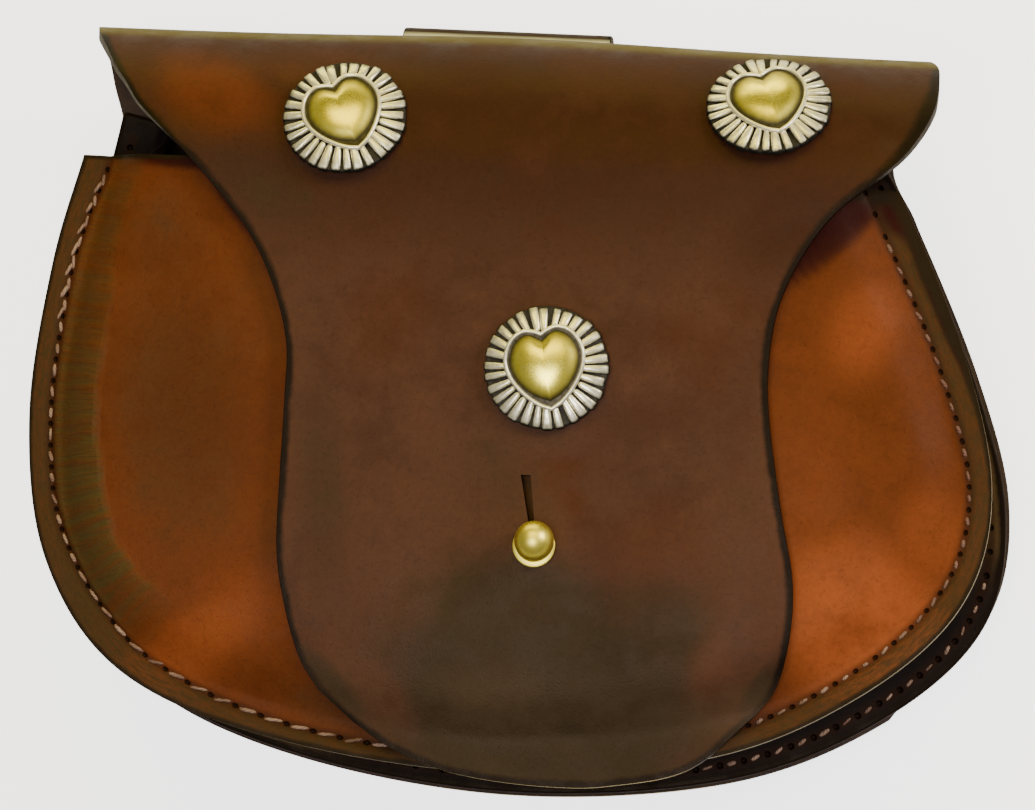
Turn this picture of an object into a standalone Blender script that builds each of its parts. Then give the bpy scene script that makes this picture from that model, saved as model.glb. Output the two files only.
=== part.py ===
"""A hand-made leather belt bag, closed, lying on its back with the front up.

Metres, +Z up. X runs across the bag, Y from its bottom edge towards the fold at its top, Z from the back
to the front. The origin is the middle of the belt loop's flat outer face, which the bag lies on.
The bag itself is worked out in its own frame, whose zero is on the bag's mid-line at the mouth.
"""

import math
from collections import namedtuple

import bmesh
import bpy
import numpy as np
from mathutils import Matrix, Vector

MM = 0.001

# Leather, as it is bought
BACK_THICK = 2.4 * MM
PANEL_THICK = 2.2 * MM
GUSSET_THICK = 1.8 * MM
LOOP_THICK = 2.2 * MM

# Clear space between pieces that touch, and under the flap where it lies on the front
SEAM_GAP = 0.3 * MM
FLAP_GAP = 0.6 * MM

# The bag
PANEL_WIDTH = 195 * MM
PANEL_HEIGHT = 120.4 * MM
BAG_DEPTH = 38.2 * MM
BACK_MARGIN = 2.5 * MM
DOME_RISE = 6.0 * MM
DOME_SPAN = 45 * MM
FOLD_REACH = 28.7 * MM
FOLD_LOW_SHARE = 0.315
FLAP_DROP = 123.8 * MM

# The gusset: a channel whose flanges point outwards
FLANGE_WIDTH = 8.5 * MM
FLANGE_SETBACK = 0.5 * MM
GUSSET_BEND = 3.0 * MM
GUSSET_BOW = 2.0 * MM

# The belt loop
LOOP_WIDTH = 44 * MM
LOOP_FLAT = 86 * MM
LOOP_INNER_LEG = 53 * MM
LOOP_PEEK = 7.8 * MM
LOOP_SLOPE = 14 * MM
LOOP_TAB = 16 * MM
LOOP_OFFSET = 10.4 * MM
BELT_GAP = 5.0 * MM

# The conchos, cast in one with a threaded post
CONCHO_DIAMETER = 25.4 * MM
PETALS = 30
HEART_WIDTH = 17 * MM
HEART_HEIGHT = 17 * MM
HEART_RELIEF = 4.4 * MM
POST_DIAMETER = 4.8 * MM
BORE_DIAMETER = 3.0 * MM
SCREW_DIAMETER = 2.4 * MM
SCREW_HEAD = 9.0 * MM
HEAD_THICK = 0.9 * MM
HOLE_CLEARANCE = 0.6 * MM

# The ball stud and the slit that it goes through
BALL_DIAMETER = 8.8 * MM
NECK_DIAMETER = 4.4 * MM
COLLAR_DIAMETER = 6.4 * MM
COLLAR_THICK = 0.7 * MM
FOOT_DIAMETER = 8.6 * MM
FOOT_THICK = 0.8 * MM
SLIT_WIDE = 2.1 * MM
SLIT_NARROW = 0.9 * MM
LIFT_HEIGHT = 1.2 * MM
LIFT_SPREAD = 13 * MM

# How finely the sheets are divided
SHEET_COLUMNS = 20
BACK_ROWS = 12
FOLD_ROWS = 16
FLAP_ROWS = 19
PANEL_RAYS = 36
GUSSET_STEPS = 36
BEND_STEPS = 3

HALF_WIDTH = PANEL_WIDTH / 2

# The front panel's sewn edge, from above the left mouth corner round to above the right one. "across" is a
# share of half the panel's width from the mid-line, "down" a share of its height below the mouth, and
# "margin" a share of the back's margin, by which the back stands out beyond the front there. The rows above
# the mouth guide the gusset's ends and the back.
Edge = namedtuple("Edge", "across down margin")
PANEL_EDGE = [
    Edge(-0.894, -0.115, 1.0),
    Edge(-0.924, 0.0, 1.0),
    Edge(-0.975, 0.19, 1.0),
    Edge(-1.0, 0.45, 0.8),
    Edge(-0.943, 0.689, 0.5),
    Edge(-0.771, 0.867, 0.4),
    Edge(-0.45, 0.963, 0.8),
    Edge(0.0, 1.0, 1.2),
    Edge(0.444, 0.958, 1.4),
    Edge(0.742, 0.847, 1.7),
    Edge(0.945, 0.69, 1.7),
    Edge(1.0, 0.5, 0.9),
    Edge(0.93, 0.27, 0.4),
    Edge(0.778, 0.0, 0.4),
    Edge(0.721, -0.074, 0.6),
]
# The level at which the back's side edges pass into its bottom edge, as a share of the panel's height
BOTTOM_CORNER = 0.86

# The sheet's side edges round the fold. "turn" is in degrees, 0 on the back and 180 on the flap; the edges
# are shares of half the panel's width.
Fold = namedtuple("Fold", "turn left right")
FOLD_EDGE = [
    Fold(0, -0.951, 0.790),
    Fold(20, -0.915, 0.740),
    Fold(45, -0.937, 0.772),
    Fold(70, -0.948, 0.793),
    Fold(90, -0.953, 0.800),
    Fold(105, -0.943, 0.822),
    Fold(120, -0.920, 0.842),
    Fold(140, -0.872, 0.846),
    Fold(150, -0.838, 0.838),
    Fold(160, -0.803, 0.817),
    Fold(170, -0.749, 0.782),
    Fold(180, -0.692, 0.726),
]

# The flap's side edges. "down" is a share of the flap's drop from the fold to its tip.
Side = namedtuple("Side", "down left right")
FLAP_EDGE = [
    Side(0.0, -0.692, 0.726),
    Side(0.052, -0.628, 0.652),
    Side(0.124, -0.550, 0.591),
    Side(0.206, -0.493, 0.550),
    Side(0.298, -0.456, 0.537),
    Side(0.389, -0.451, 0.545),
    Side(0.531, -0.450, 0.579),
    Side(0.639, -0.446, 0.610),
    Side(0.724, -0.424, 0.611),
    Side(0.806, -0.388, 0.588),
    Side(0.855, -0.345, 0.552),
]
# The rounded lower edge between the two sides
Tip = namedtuple("Tip", "across down")
FLAP_TIP = [
    Tip(-0.345, 0.855),
    Tip(-0.225, 0.930),
    Tip(-0.114, 0.968),
    Tip(0.0, 0.985),
    Tip(0.141, 0.991),
    Tip(0.26, 0.984),
    Tip(0.42, 0.950),
    Tip(0.552, 0.855),
]

# How the front rises inside its seam: sharply on the left, where it is pressed, softly elsewhere. "inset" is
# a share of the dome's span, the rises are shares of its full rise.
Rise = namedtuple("Rise", "inset pressed soft")
DOME = [
    Rise(0.0, 0.0, 0.0),
    Rise(0.13, 0.0, 0.01),
    Rise(0.18, 0.10, 0.09),
    Rise(0.25, 0.52, 0.30),
    Rise(0.32, 0.76, 0.52),
    Rise(0.42, 0.85, 0.70),
    Rise(0.60, 0.92, 0.88),
    Rise(0.80, 0.97, 0.97),
    Rise(1.0, 1.0, 1.0),
]
# The panel's rings, as shares of the dome's span inside the edge, then of the way on to the mouth's middle
RING_INSETS = [0.0, 0.07, 0.13, 0.18, 0.22, 0.26, 0.32, 0.42, 0.60, 1.0]
RING_WAYS = [0.4, 0.75, 1.0]

# Where the metal sits. "across" is a share of half the panel's width. "run" counts along the sheet: 0 to 1 up
# the back, 1 to 2 round the fold, 2 to 3 down the flap. "lean" turns the heart's tip to the right, in degrees.
Metal = namedtuple("Metal", "name across run lean")
CONCHOS = [
    Metal("left", -0.365, 1.909, 27),
    Metal("right", 0.505, 1.836, 20),
    Metal("centre", 0.088, 2.324, 12),
]
STUD = Metal("stud", 0.085, 2.611, 0)
SLIT_TOP = Metal("slit", 0.057, 2.497, 0)

# Turned outline of a concho's face: radius as a share of the disc's, height on a petal and between two, as
# shares of the relief
Ring = namedtuple("Ring", "radius ridge groove")
CONCHO_RINGS = [
    Ring(0.96, 0.0, 0.0),
    Ring(1.0, 0.10, 0.06),
    Ring(0.97, 0.24, 0.13),
    Ring(0.86, 0.40, 0.20),
    Ring(0.72, 0.42, 0.26),
    Ring(0.66, 0.30, 0.30),
]
GROOVE_CUT = 0.955

# The raised heart: size as a share of the frame's, height as a share of the relief
Step = namedtuple("Step", "size height")
HEART_STEPS = [
    Step(1.0, 0.12),
    Step(1.0, 0.50),
    Step(0.96, 0.60),
    Step(0.89, 0.60),
    Step(0.85, 0.42),
    Step(0.78, 0.62),
    Step(0.62, 0.86),
    Step(0.34, 0.98),
]
HEART_POINTS = 28

# Levels above the surface that the bag lies on
BACK_LEVEL = LOOP_THICK + BELT_GAP + LOOP_THICK + SEAM_GAP + BACK_THICK / 2
RIM_LEVEL = BACK_LEVEL - BACK_THICK / 2 + BAG_DEPTH - PANEL_THICK / 2
GUSSET_LOW = (BACK_THICK + GUSSET_THICK) / 2 + SEAM_GAP
GUSSET_HIGH = RIM_LEVEL - (PANEL_THICK + GUSSET_THICK) / 2 - SEAM_GAP
FLAP_ABOVE = (PANEL_THICK + BACK_THICK) / 2 + FLAP_GAP
FLAP_LEVEL = RIM_LEVEL + DOME_RISE + FLAP_ABOVE
APEX_LEVEL = BACK_LEVEL + FOLD_LOW_SHARE * (FLAP_LEVEL - BACK_LEVEL)

# The belt loop's middle line, and with it the place of the bag
LOOP_BEND = (LOOP_THICK + BELT_GAP) / 2
LOOP_TOP = FOLD_REACH + LOOP_PEEK - LOOP_BEND - LOOP_THICK / 2
BAG_PLACE = (LOOP_OFFSET, LOOP_FLAT / 2 - LOOP_TOP, 0)


def smooth_line(points, per_span=12):
    """A dense line on a smooth curve through the points."""
    p = np.array(points, float)
    p = np.vstack([2 * p[0] - p[1], p, 2 * p[-1] - p[-2]])
    line = []
    for a, b, c, d in zip(p, p[1:], p[2:], p[3:]):
        for t in np.arange(per_span) / per_span:
            bend = (2 * a - 5 * b + 4 * c - d) * t**2
            line.append((2 * b + (c - a) * t + bend + (3 * b - a - 3 * c + d) * t**3) / 2)
    line.append(p[-2])
    return np.array(line)


def soft_step(t):
    t = np.clip(t, 0, 1)
    return t * t * (3 - 2 * t)


def line_normals(line):
    """The direction across the line at each of its points, to the left of its run."""
    along = np.gradient(line, axis=0)
    along /= np.linalg.norm(along, axis=1)[:, None]
    return np.stack([-along[:, 1], along[:, 0]], axis=1)


# The sewn edge in metres: it runs down the left and up the right, so its normals point into the panel
SEWN_EDGE = smooth_line([(row.across * HALF_WIDTH, -row.down * PANEL_HEIGHT) for row in PANEL_EDGE])
EDGE_NORMALS = line_normals(SEWN_EDGE)
MARGIN = smooth_line([(row.margin * BACK_MARGIN,) for row in PANEL_EDGE])
BACK_EDGE = SEWN_EDGE - EDGE_NORMALS * MARGIN
MOUTH_MIDDLE = np.array([(PANEL_EDGE[1].across + PANEL_EDGE[-2].across) / 2 * HALF_WIDTH, 0.0])

# The same edge as seen from the mouth's middle: a bearing, a distance, and how squarely the edge is met
EDGE_RAYS = SEWN_EDGE - MOUTH_MIDDLE
EDGE_REACH = np.linalg.norm(EDGE_RAYS, axis=1)
EDGE_BEARING = np.unwrap(np.arctan2(EDGE_RAYS[:, 1], EDGE_RAYS[:, 0]) % (2 * math.pi))
EDGE_SQUARE = -np.sum(EDGE_NORMALS * EDGE_RAYS, axis=1) / EDGE_REACH


def edge_from_mouth(bearing):
    """Distance to the sewn edge from the mouth's middle, and how squarely that ray meets it."""
    reach = np.interp(bearing, EDGE_BEARING, EDGE_REACH)
    square = np.interp(bearing, EDGE_BEARING, EDGE_SQUARE)
    return reach, square


def dome_rise(inset, bearing):
    """Height of the front above its rim, at a distance inside the edge."""
    share = inset / DOME_SPAN
    pressed = np.interp(share, [row.inset for row in DOME], [row.pressed for row in DOME])
    soft = np.interp(share, [row.inset for row in DOME], [row.soft for row in DOME])
    # The pressed side spans the bearings from the left mouth corner to the lower left
    left = soft_step((1.36 * math.pi - bearing) / (0.12 * math.pi))
    return DOME_RISE * (left * pressed + (1 - left) * soft)


def panel_rise(x, y):
    ray = np.array([x, y]) - MOUTH_MIDDLE
    bearing = math.atan2(ray[1], ray[0]) % (2 * math.pi)
    reach, square = edge_from_mouth(bearing)
    return dome_rise((reach - np.linalg.norm(ray)) * square, bearing)


def edge_at(rows, name, place):
    """Where a side edge of the sheet is, on a smooth curve through the table's rows."""
    line = smooth_line([(row[0], getattr(row, name)) for row in rows])
    return np.interp(place, line[:, 0], line[:, 1]) * HALF_WIDTH


def lowest(line):
    return int(np.argmin(line[:, 1]))


def back_side(y, right):
    """Where the back's side edge is at a height."""
    half = BACK_EDGE[lowest(BACK_EDGE):] if right else BACK_EDGE[: lowest(BACK_EDGE) + 1][::-1]
    return np.interp(y, half[:, 1], half[:, 0])


def back_bottom(x):
    """The height of the back's bottom edge."""
    low = BACK_EDGE[BACK_EDGE[:, 1] < -BOTTOM_CORNER * PANEL_HEIGHT + BACK_MARGIN]
    return np.interp(x, low[:, 0], low[:, 1])


def flap_tip(x):
    """The height of the flap's lower edge."""
    line = smooth_line([(row.across * HALF_WIDTH, -row.down * FLAP_DROP) for row in FLAP_TIP])
    return np.interp(x, line[:, 0], line[:, 1])


def fold_place(turn):
    """Height and level of the sheet's middle at an angle round the fold, in radians."""
    y = FOLD_REACH * math.sin(turn)
    if turn < math.pi / 2:
        return y, APEX_LEVEL - (APEX_LEVEL - BACK_LEVEL) * math.cos(turn)
    return y, APEX_LEVEL - (FLAP_LEVEL - APEX_LEVEL) * math.cos(turn)


def back_level(y):
    """Level of the back's middle, which is flat up to the fold."""
    if y <= 0:
        return BACK_LEVEL
    return fold_place(math.asin(min(1, y / FOLD_REACH)))[1]


def flap_spot(metal):
    """Where a piece of metal meets the flap, seen from the front."""
    x = metal.across * HALF_WIDTH
    if metal.run > 2:
        return x, -(metal.run - 2) * FLAP_DROP
    return x, fold_place((metal.run - 1) * math.pi)[0]


def flap_lift(x, y):
    """The flap stands up a little over the screw and the stud's foot that lie under it."""
    lift = 0
    for metal in (CONCHOS[-1], STUD):
        spot = flap_spot(metal)
        lift = max(lift, math.exp(-((x - spot[0]) ** 2 + (y - spot[1]) ** 2) / LIFT_SPREAD**2))
    return LIFT_HEIGHT * lift


def flap_level(x, y):
    """Level of the flap's middle: flat off the fold, then lying on the front's dome."""
    settle = soft_step(-y / DOME_SPAN)
    rise = (1 - settle) * DOME_RISE + settle * panel_rise(x, y)
    return RIM_LEVEL + FLAP_ABOVE + rise + flap_lift(x, y)


def clear_scene():
    for obj in list(bpy.data.objects):
        bpy.data.objects.remove(obj, do_unlink=True)


def new_collection(name):
    collection = bpy.data.collections.new(name)
    bpy.context.scene.collection.children.link(collection)
    return collection


def new_material(name, colour, roughness, metallic=0.0):
    material = bpy.data.materials.new(name)
    material.use_nodes = True
    shader = material.node_tree.nodes["Principled BSDF"]
    shader.inputs["Base Color"].default_value = (*colour, 1)
    shader.inputs["Roughness"].default_value = roughness
    shader.inputs["Metallic"].default_value = metallic
    material.diffuse_color = (*colour, 1)
    return material


def new_object(name, mesh, collection, parent=None):
    obj = bpy.data.objects.new(name, mesh)
    collection.objects.link(obj)
    obj.parent = parent
    return obj


def mesh_of(work, name):
    """A mesh from a bmesh, with its doubles merged and its faces out."""
    bmesh.ops.remove_doubles(work, verts=work.verts, dist=1e-6)
    bmesh.ops.recalc_face_normals(work, faces=work.faces)
    mesh = bpy.data.meshes.new(name)
    work.to_mesh(mesh)
    work.free()
    mesh.shade_smooth()
    mesh.set_sharp_from_angle(angle=math.radians(40))
    return mesh


def sheet(name, columns, rows, place, thickness, collection, parent):
    """Leather: a grid laid out by a function of two shares and thickened to both sides."""
    work = bmesh.new()
    bmesh.ops.create_grid(work, x_segments=columns, y_segments=rows, size=0.5)
    for vert in work.verts:
        vert.co = Vector(place(vert.co.x + 0.5, vert.co.y + 0.5))
    obj = new_object(name, mesh_of(work, name), collection, parent)
    wall = obj.modifiers.new("wall", "SOLIDIFY")
    wall.thickness = thickness
    wall.offset = 0
    wall.use_even_offset = True
    return obj


def turned(name, profile, steps, collection):
    """A turned shape from its outline, given as (radius, level) from the top down."""
    mesh = bpy.data.meshes.new(name)
    edges = [(i, i + 1) for i in range(len(profile) - 1)]
    mesh.from_pydata([(radius, 0, level) for radius, level in profile], edges, [])
    obj = new_object(name, mesh, collection)
    turn = obj.modifiers.new("turn", "SCREW")
    turn.axis = "Z"
    turn.steps = steps
    turn.render_steps = steps
    turn.use_merge_vertices = True
    turn.merge_threshold = 1e-5
    return obj


def finished_mesh(obj, name):
    """The object's mesh with its modifiers applied. The object goes."""
    graph = bpy.context.evaluated_depsgraph_get()
    mesh = bpy.data.meshes.new_from_object(obj.evaluated_get(graph))
    mesh.name = name
    bpy.data.objects.remove(obj, do_unlink=True)
    return mesh


def as_helper(obj):
    obj.hide_render = True
    obj.display_type = "WIRE"
    return obj


def combine(obj, other, operation):
    boolean = obj.modifiers.new(other.name, "BOOLEAN")
    boolean.operation = operation
    boolean.solver = "EXACT"
    boolean.object = as_helper(other)


def round_cutter(name, diameter, length, collection, sides=14):
    work = bmesh.new()
    bmesh.ops.create_cone(
        work,
        cap_ends=True,
        segments=sides,
        radius1=diameter / 2,
        radius2=diameter / 2,
        depth=length,
    )
    return new_object(name, mesh_of(work, name), collection)


def sheet_rows():
    """The sheet's rows from the back's bottom to the flap's tip: a region, a share of it, and how much of the
    curve of the bottom or the tip the row still has."""
    rows = []
    for i in range(BACK_ROWS):
        share = i / BACK_ROWS
        rows.append(("back", share, 1 - share))
    for i in range(FOLD_ROWS):
        rows.append(("fold", i / FOLD_ROWS, 0))
    for i in range(FLAP_ROWS + 1):
        share = i / FLAP_ROWS
        rows.append(("flap", share, max(0, 2 * share - 1)))
    return rows


def sheet_point(across, along):
    """A point of the back and flap's middle surface. Both shares run from 0 to 1 over the whole sheet."""
    rows = sheet_rows()
    region, share, curve = rows[round(along * (len(rows) - 1))]
    if region == "fold":
        turn = share * 180
        left = edge_at(FOLD_EDGE, "left", turn)
        right = edge_at(FOLD_EDGE, "right", turn)
        y, z = fold_place(math.radians(turn))
        return left + (right - left) * across, y, z
    if region == "back":
        corner = -BOTTOM_CORNER * PANEL_HEIGHT
        y = corner * (1 - share)
        left = back_side(y, right=False)
        right = back_side(y, right=True)
        x = left + (right - left) * across
        return x, y + curve * (back_bottom(x) - corner), BACK_LEVEL
    corner = -FLAP_EDGE[-1].down * FLAP_DROP
    y = corner * share
    left = edge_at(FLAP_EDGE, "left", -y / FLAP_DROP)
    right = edge_at(FLAP_EDGE, "right", -y / FLAP_DROP)
    x = left + (right - left) * across
    y += curve * (flap_tip(x) - corner)
    return x, y, flap_level(x, y)


def flap_frame(metal, lean=0.0):
    """A frame on the flap's outer face: Z out of the leather, Y up the bag."""
    x, y = flap_spot(metal)
    if metal.run > 2:
        z = flap_level(x, y)
        step = 1 * MM
        up = Vector((0, 2 * step, flap_level(x, y + step) - flap_level(x, y - step))).normalized()
        side = Vector((2 * step, 0, flap_level(x + step, y) - flap_level(x - step, y))).normalized()
    else:
        turn = (metal.run - 1) * math.pi
        z = fold_place(turn)[1]
        ahead = np.array(fold_place(turn - 0.01)) - np.array(fold_place(turn + 0.01))
        up = Vector((0, *ahead)).normalized()
        side = Vector((1, 0, 0))
    out = side.cross(up).normalized()
    side = up.cross(out)
    frame = Matrix((side, up, out)).transposed().to_4x4()
    frame.translation = Vector((x, y, z)) + out * (BACK_THICK / 2)
    return frame @ Matrix.Rotation(math.radians(lean), 4, "Z")


def make_back_and_flap(parts, cutters, bag, material):
    rows = len(sheet_rows()) - 1
    obj = sheet("back_and_flap", SHEET_COLUMNS, rows, sheet_point, BACK_THICK, parts, bag)
    for metal in CONCHOS:
        name = f"cut_post_{metal.name}"
        cutter = round_cutter(name, POST_DIAMETER + HOLE_CLEARANCE, 6 * BACK_THICK, cutters)
        cutter.parent = bag
        cutter.matrix_local = flap_frame(metal)
        combine(obj, cutter, "DIFFERENCE")
    keyhole = round_cutter("cut_keyhole", NECK_DIAMETER + HOLE_CLEARANCE, 6 * BACK_THICK, cutters)
    keyhole.parent = bag
    keyhole.matrix_local = flap_frame(STUD)
    combine(obj, keyhole, "DIFFERENCE")
    combine(obj, slit_cutter(cutters, bag), "DIFFERENCE")
    obj.data.materials.append(material)
    return obj


def slit_cutter(cutters, bag):
    """A wedge from the slit's wide top down into the keyhole."""
    top = Vector((*flap_spot(SLIT_TOP), 0))
    bottom = Vector((*flap_spot(STUD), 0))
    work = bmesh.new()
    bmesh.ops.create_cube(work, size=1)
    for vert in work.verts:
        end, width = (top, SLIT_WIDE) if vert.co.y > 0 else (bottom, SLIT_NARROW)
        level = FLAP_LEVEL + vert.co.z * 8 * BACK_THICK
        vert.co = Vector((end.x + vert.co.x * width, end.y, level))
    return new_object("cut_slit", mesh_of(work, "cut_slit"), cutters, bag)


def panel_point(around, along):
    """A point of the front panel's middle surface, on a ray from the edge to the mouth's middle."""
    rings = len(RING_INSETS) + len(RING_WAYS) - 1
    ring = round(along * rings)
    half = lowest(SEWN_EDGE)
    left_corner = np.interp(0, SEWN_EDGE[: half + 1][::-1, 1], EDGE_BEARING[: half + 1][::-1])
    right_corner = np.interp(0, SEWN_EDGE[half:, 1], EDGE_BEARING[half:])
    bearing = left_corner + (right_corner - left_corner) * around
    reach, square = edge_from_mouth(bearing)
    if ring < len(RING_INSETS):
        inset = RING_INSETS[ring] * DOME_SPAN
        distance = reach - inset / square
    else:
        inset = DOME_SPAN
        distance = (reach - DOME_SPAN / square) * (1 - RING_WAYS[ring - len(RING_INSETS)])
    x, y = MOUTH_MIDDLE + distance * np.array([math.cos(bearing), math.sin(bearing)])
    return x, y, RIM_LEVEL + dome_rise(inset, bearing)


def make_front_panel(parts, cutters, bag, material):
    rings = len(RING_INSETS) + len(RING_WAYS) - 1
    obj = sheet("front_panel", PANEL_RAYS, rings, panel_point, PANEL_THICK, parts, bag)
    hole = round_cutter("cut_stud", NECK_DIAMETER + HOLE_CLEARANCE, 12 * PANEL_THICK, cutters)
    hole.parent = bag
    hole.matrix_local = stud_frame()
    combine(obj, hole, "DIFFERENCE")
    obj.data.materials.append(material)
    return obj


def gusset_section():
    """The channel's cross-section, from the back flange's edge to the front one's: how far inside the sewn
    edge, how much of the back's margin it reaches out into, and a share of the way from the back level to
    the front level. The bends are arcs."""
    web = FLANGE_SETBACK + FLANGE_WIDTH
    bend = GUSSET_BEND / (GUSSET_HIGH - BACK_LEVEL - GUSSET_LOW)
    section = [(FLANGE_SETBACK, 1.0, 0.0), ((FLANGE_SETBACK + web - GUSSET_BEND) / 2, 0.5, 0.0)]
    for i in range(BEND_STEPS + 1):
        angle = i / BEND_STEPS * math.pi / 2
        inset = web - GUSSET_BEND * (1 - math.sin(angle))
        section.append((inset, 0.0, bend * (1 - math.cos(angle))))
    front = [(inset, 0.0, 1 - share) for inset, _, share in section[::-1]]
    return section + [(web + GUSSET_BOW, 0.0, 0.5)] + front


def gusset_point(around, along):
    """A point of the gusset's middle surface. Its ends slant from the back, where they reach above the mouth,
    to the front, where they stop at it."""
    section = gusset_section()
    inset, reach, share = section[round(along * (len(section) - 1))]
    length = np.concatenate([[0], np.cumsum(np.linalg.norm(np.diff(SEWN_EDGE, axis=0), axis=1))])
    half = lowest(SEWN_EDGE)
    mouth_left = np.interp(0, SEWN_EDGE[: half + 1][::-1, 1], length[: half + 1][::-1])
    mouth_right = np.interp(0, SEWN_EDGE[half:, 1], length[half:])
    start = share * mouth_left
    end = length[-1] + share * (mouth_right - length[-1])
    place = start + (end - start) * around
    line = SEWN_EDGE + EDGE_NORMALS * (inset - reach * MARGIN)
    x = np.interp(place, length, line[:, 0])
    y = np.interp(place, length, line[:, 1])
    low = back_level(y) + GUSSET_LOW
    return x, y, low + share * (GUSSET_HIGH - low)


def make_gusset(parts, bag, material):
    rows = len(gusset_section()) - 1
    obj = sheet("gusset", GUSSET_STEPS, rows, gusset_point, GUSSET_THICK, parts, bag)
    obj.data.materials.append(material)
    return obj


def loop_line():
    """The strap's middle line as (height, level): sewn inner leg, turn over the top, outer leg, slope and tab."""
    outer = LOOP_THICK / 2
    inner = LOOP_THICK + BELT_GAP + LOOP_THICK / 2
    top = LOOP_FLAT / 2
    radius = (inner - outer) / 2
    line = [(top - LOOP_INNER_LEG, inner), (top - LOOP_INNER_LEG / 2, inner)]
    for i in range(9):
        angle = i / 8 * math.pi
        line.append((top + radius * math.sin(angle), outer + radius * (1 + math.cos(angle))))
    line += [(top - LOOP_FLAT / 3, outer), (top - 2 * LOOP_FLAT / 3, outer)]
    for i in range(9):
        share = i / 8
        line.append((-LOOP_FLAT / 2 - share * LOOP_SLOPE, outer + soft_step(share) * (inner - outer)))
    line.append((-LOOP_FLAT / 2 - LOOP_SLOPE - LOOP_TAB, inner))
    return line


def make_belt_loop(parts, material):
    line = loop_line()

    def place(across, along):
        y, z = line[round(along * (len(line) - 1))]
        return (across - 0.5) * LOOP_WIDTH, y, z

    obj = sheet("belt_loop", 2, len(line) - 1, place, LOOP_THICK, parts, None)
    obj.data.materials.append(material)
    return obj


def loft(name, rings, collection):
    """A closed body through rings of equally many points, its two ends filled."""
    work = bmesh.new()
    loops = [[work.verts.new(point) for point in ring] for ring in rings]
    for low, high in zip(loops, loops[1:]):
        for i in range(len(low)):
            j = (i + 1) % len(low)
            work.faces.new((low[i], low[j], high[j], high[i]))
    for ends in (loops[0], loops[-1]):
        middle = work.verts.new(sum((vert.co for vert in ends), Vector()) / len(ends))
        for i in range(len(ends)):
            work.faces.new((ends[i], ends[(i + 1) % len(ends)], middle))
    return new_object(name, mesh_of(work, name), collection)


def concho_disc(collection):
    """The round face: each petal is a ridge, each gap a groove that also nicks the rim."""
    relief = HEART_RELIEF
    rings = []
    for row in CONCHO_RINGS:
        ring = []
        for i in range(2 * PETALS):
            angle = i * math.pi / PETALS
            groove = i % 2
            nick = GROOVE_CUT if groove and row.radius > 0.9 else 1.0
            radius = row.radius * nick * CONCHO_DIAMETER / 2
            level = relief * (row.groove if groove else row.ridge)
            ring.append((radius * math.cos(angle), radius * math.sin(angle), level))
        rings.append(ring)
    return loft("cast_disc", rings, collection)


def heart_outline(size):
    """Points round a plump heart, its notch up."""
    ring = []
    for i in range(HEART_POINTS):
        t = 2 * math.pi * (i + 0.5) / HEART_POINTS
        x = math.sin(t) ** 3
        y = (13 * math.cos(t) - 5 * math.cos(2 * t) - 2 * math.cos(3 * t) - math.cos(4 * t)) / 29
        ring.append((x * size * HEART_WIDTH / 2, (y + 0.086) * size * HEART_HEIGHT))
    return ring


def concho_heart(collection):
    rings = [
        [(x, y, step.height * HEART_RELIEF) for x, y in heart_outline(step.size)] for step in HEART_STEPS
    ]
    return loft("cast_heart", rings, collection)


def make_conchos(parts, cutters, bag, material):
    """One casting, set three times."""
    post_end = SEAM_GAP + BACK_THICK
    body = concho_disc(cutters)
    heart = concho_heart(cutters)
    post = round_cutter("cast_post", POST_DIAMETER, post_end + HEART_RELIEF / 4, cutters, sides=12)
    post.location.z = (HEART_RELIEF / 4 - post_end) / 2
    bore = round_cutter("cast_bore", BORE_DIAMETER, 2 * (post_end - SEAM_GAP), cutters, sides=10)
    bore.location.z = -post_end
    combine(body, heart, "UNION")
    combine(body, post, "UNION")
    combine(body, bore, "DIFFERENCE")
    bpy.context.view_layer.update()
    mesh = finished_mesh(body, "concho_casting")
    for helper in (heart, post, bore):
        bpy.data.objects.remove(helper, do_unlink=True)
    mesh.shade_smooth()
    mesh.set_sharp_from_angle(angle=math.radians(40))
    mesh.materials.append(material)
    for metal in CONCHOS:
        obj = new_object(f"concho_{metal.name}", mesh, parts, bag)
        obj.matrix_local = flap_frame(metal, metal.lean) @ Matrix.Translation((0, 0, SEAM_GAP))


def make_screws(parts, cutters, bag, material):
    """A flat head under the flap, with a shank up the bore of each concho's post."""
    # The fold is hollow on its inner side, so that a flat head stands off it by this much at its middle
    hollow = (SCREW_HEAD / 2) ** 2 / (2 * (FOLD_REACH - BACK_THICK))
    head_top = -(BACK_THICK + SEAM_GAP + hollow)
    shank = SCREW_DIAMETER / 2
    shank_top = -2 * SEAM_GAP
    head = SCREW_HEAD / 2
    profile = [
        (0, shank_top),
        (shank, shank_top),
        (shank, head_top),
        (head, head_top),
        (head, head_top - HEAD_THICK),
        (0, head_top - HEAD_THICK),
    ]
    mesh = finished_mesh(turned("screw", profile, 16, cutters), "screw")
    mesh.materials.append(material)
    for metal in CONCHOS:
        obj = new_object(f"concho_screw_{metal.name}", mesh, parts, bag)
        obj.matrix_local = flap_frame(metal)


def stud_frame():
    """The stud stands square on the front panel: its zero is on the panel's outer face."""
    x, y = flap_spot(STUD)
    return Matrix.Translation((x, y, RIM_LEVEL + panel_rise(x, y) + PANEL_THICK / 2))


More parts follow.
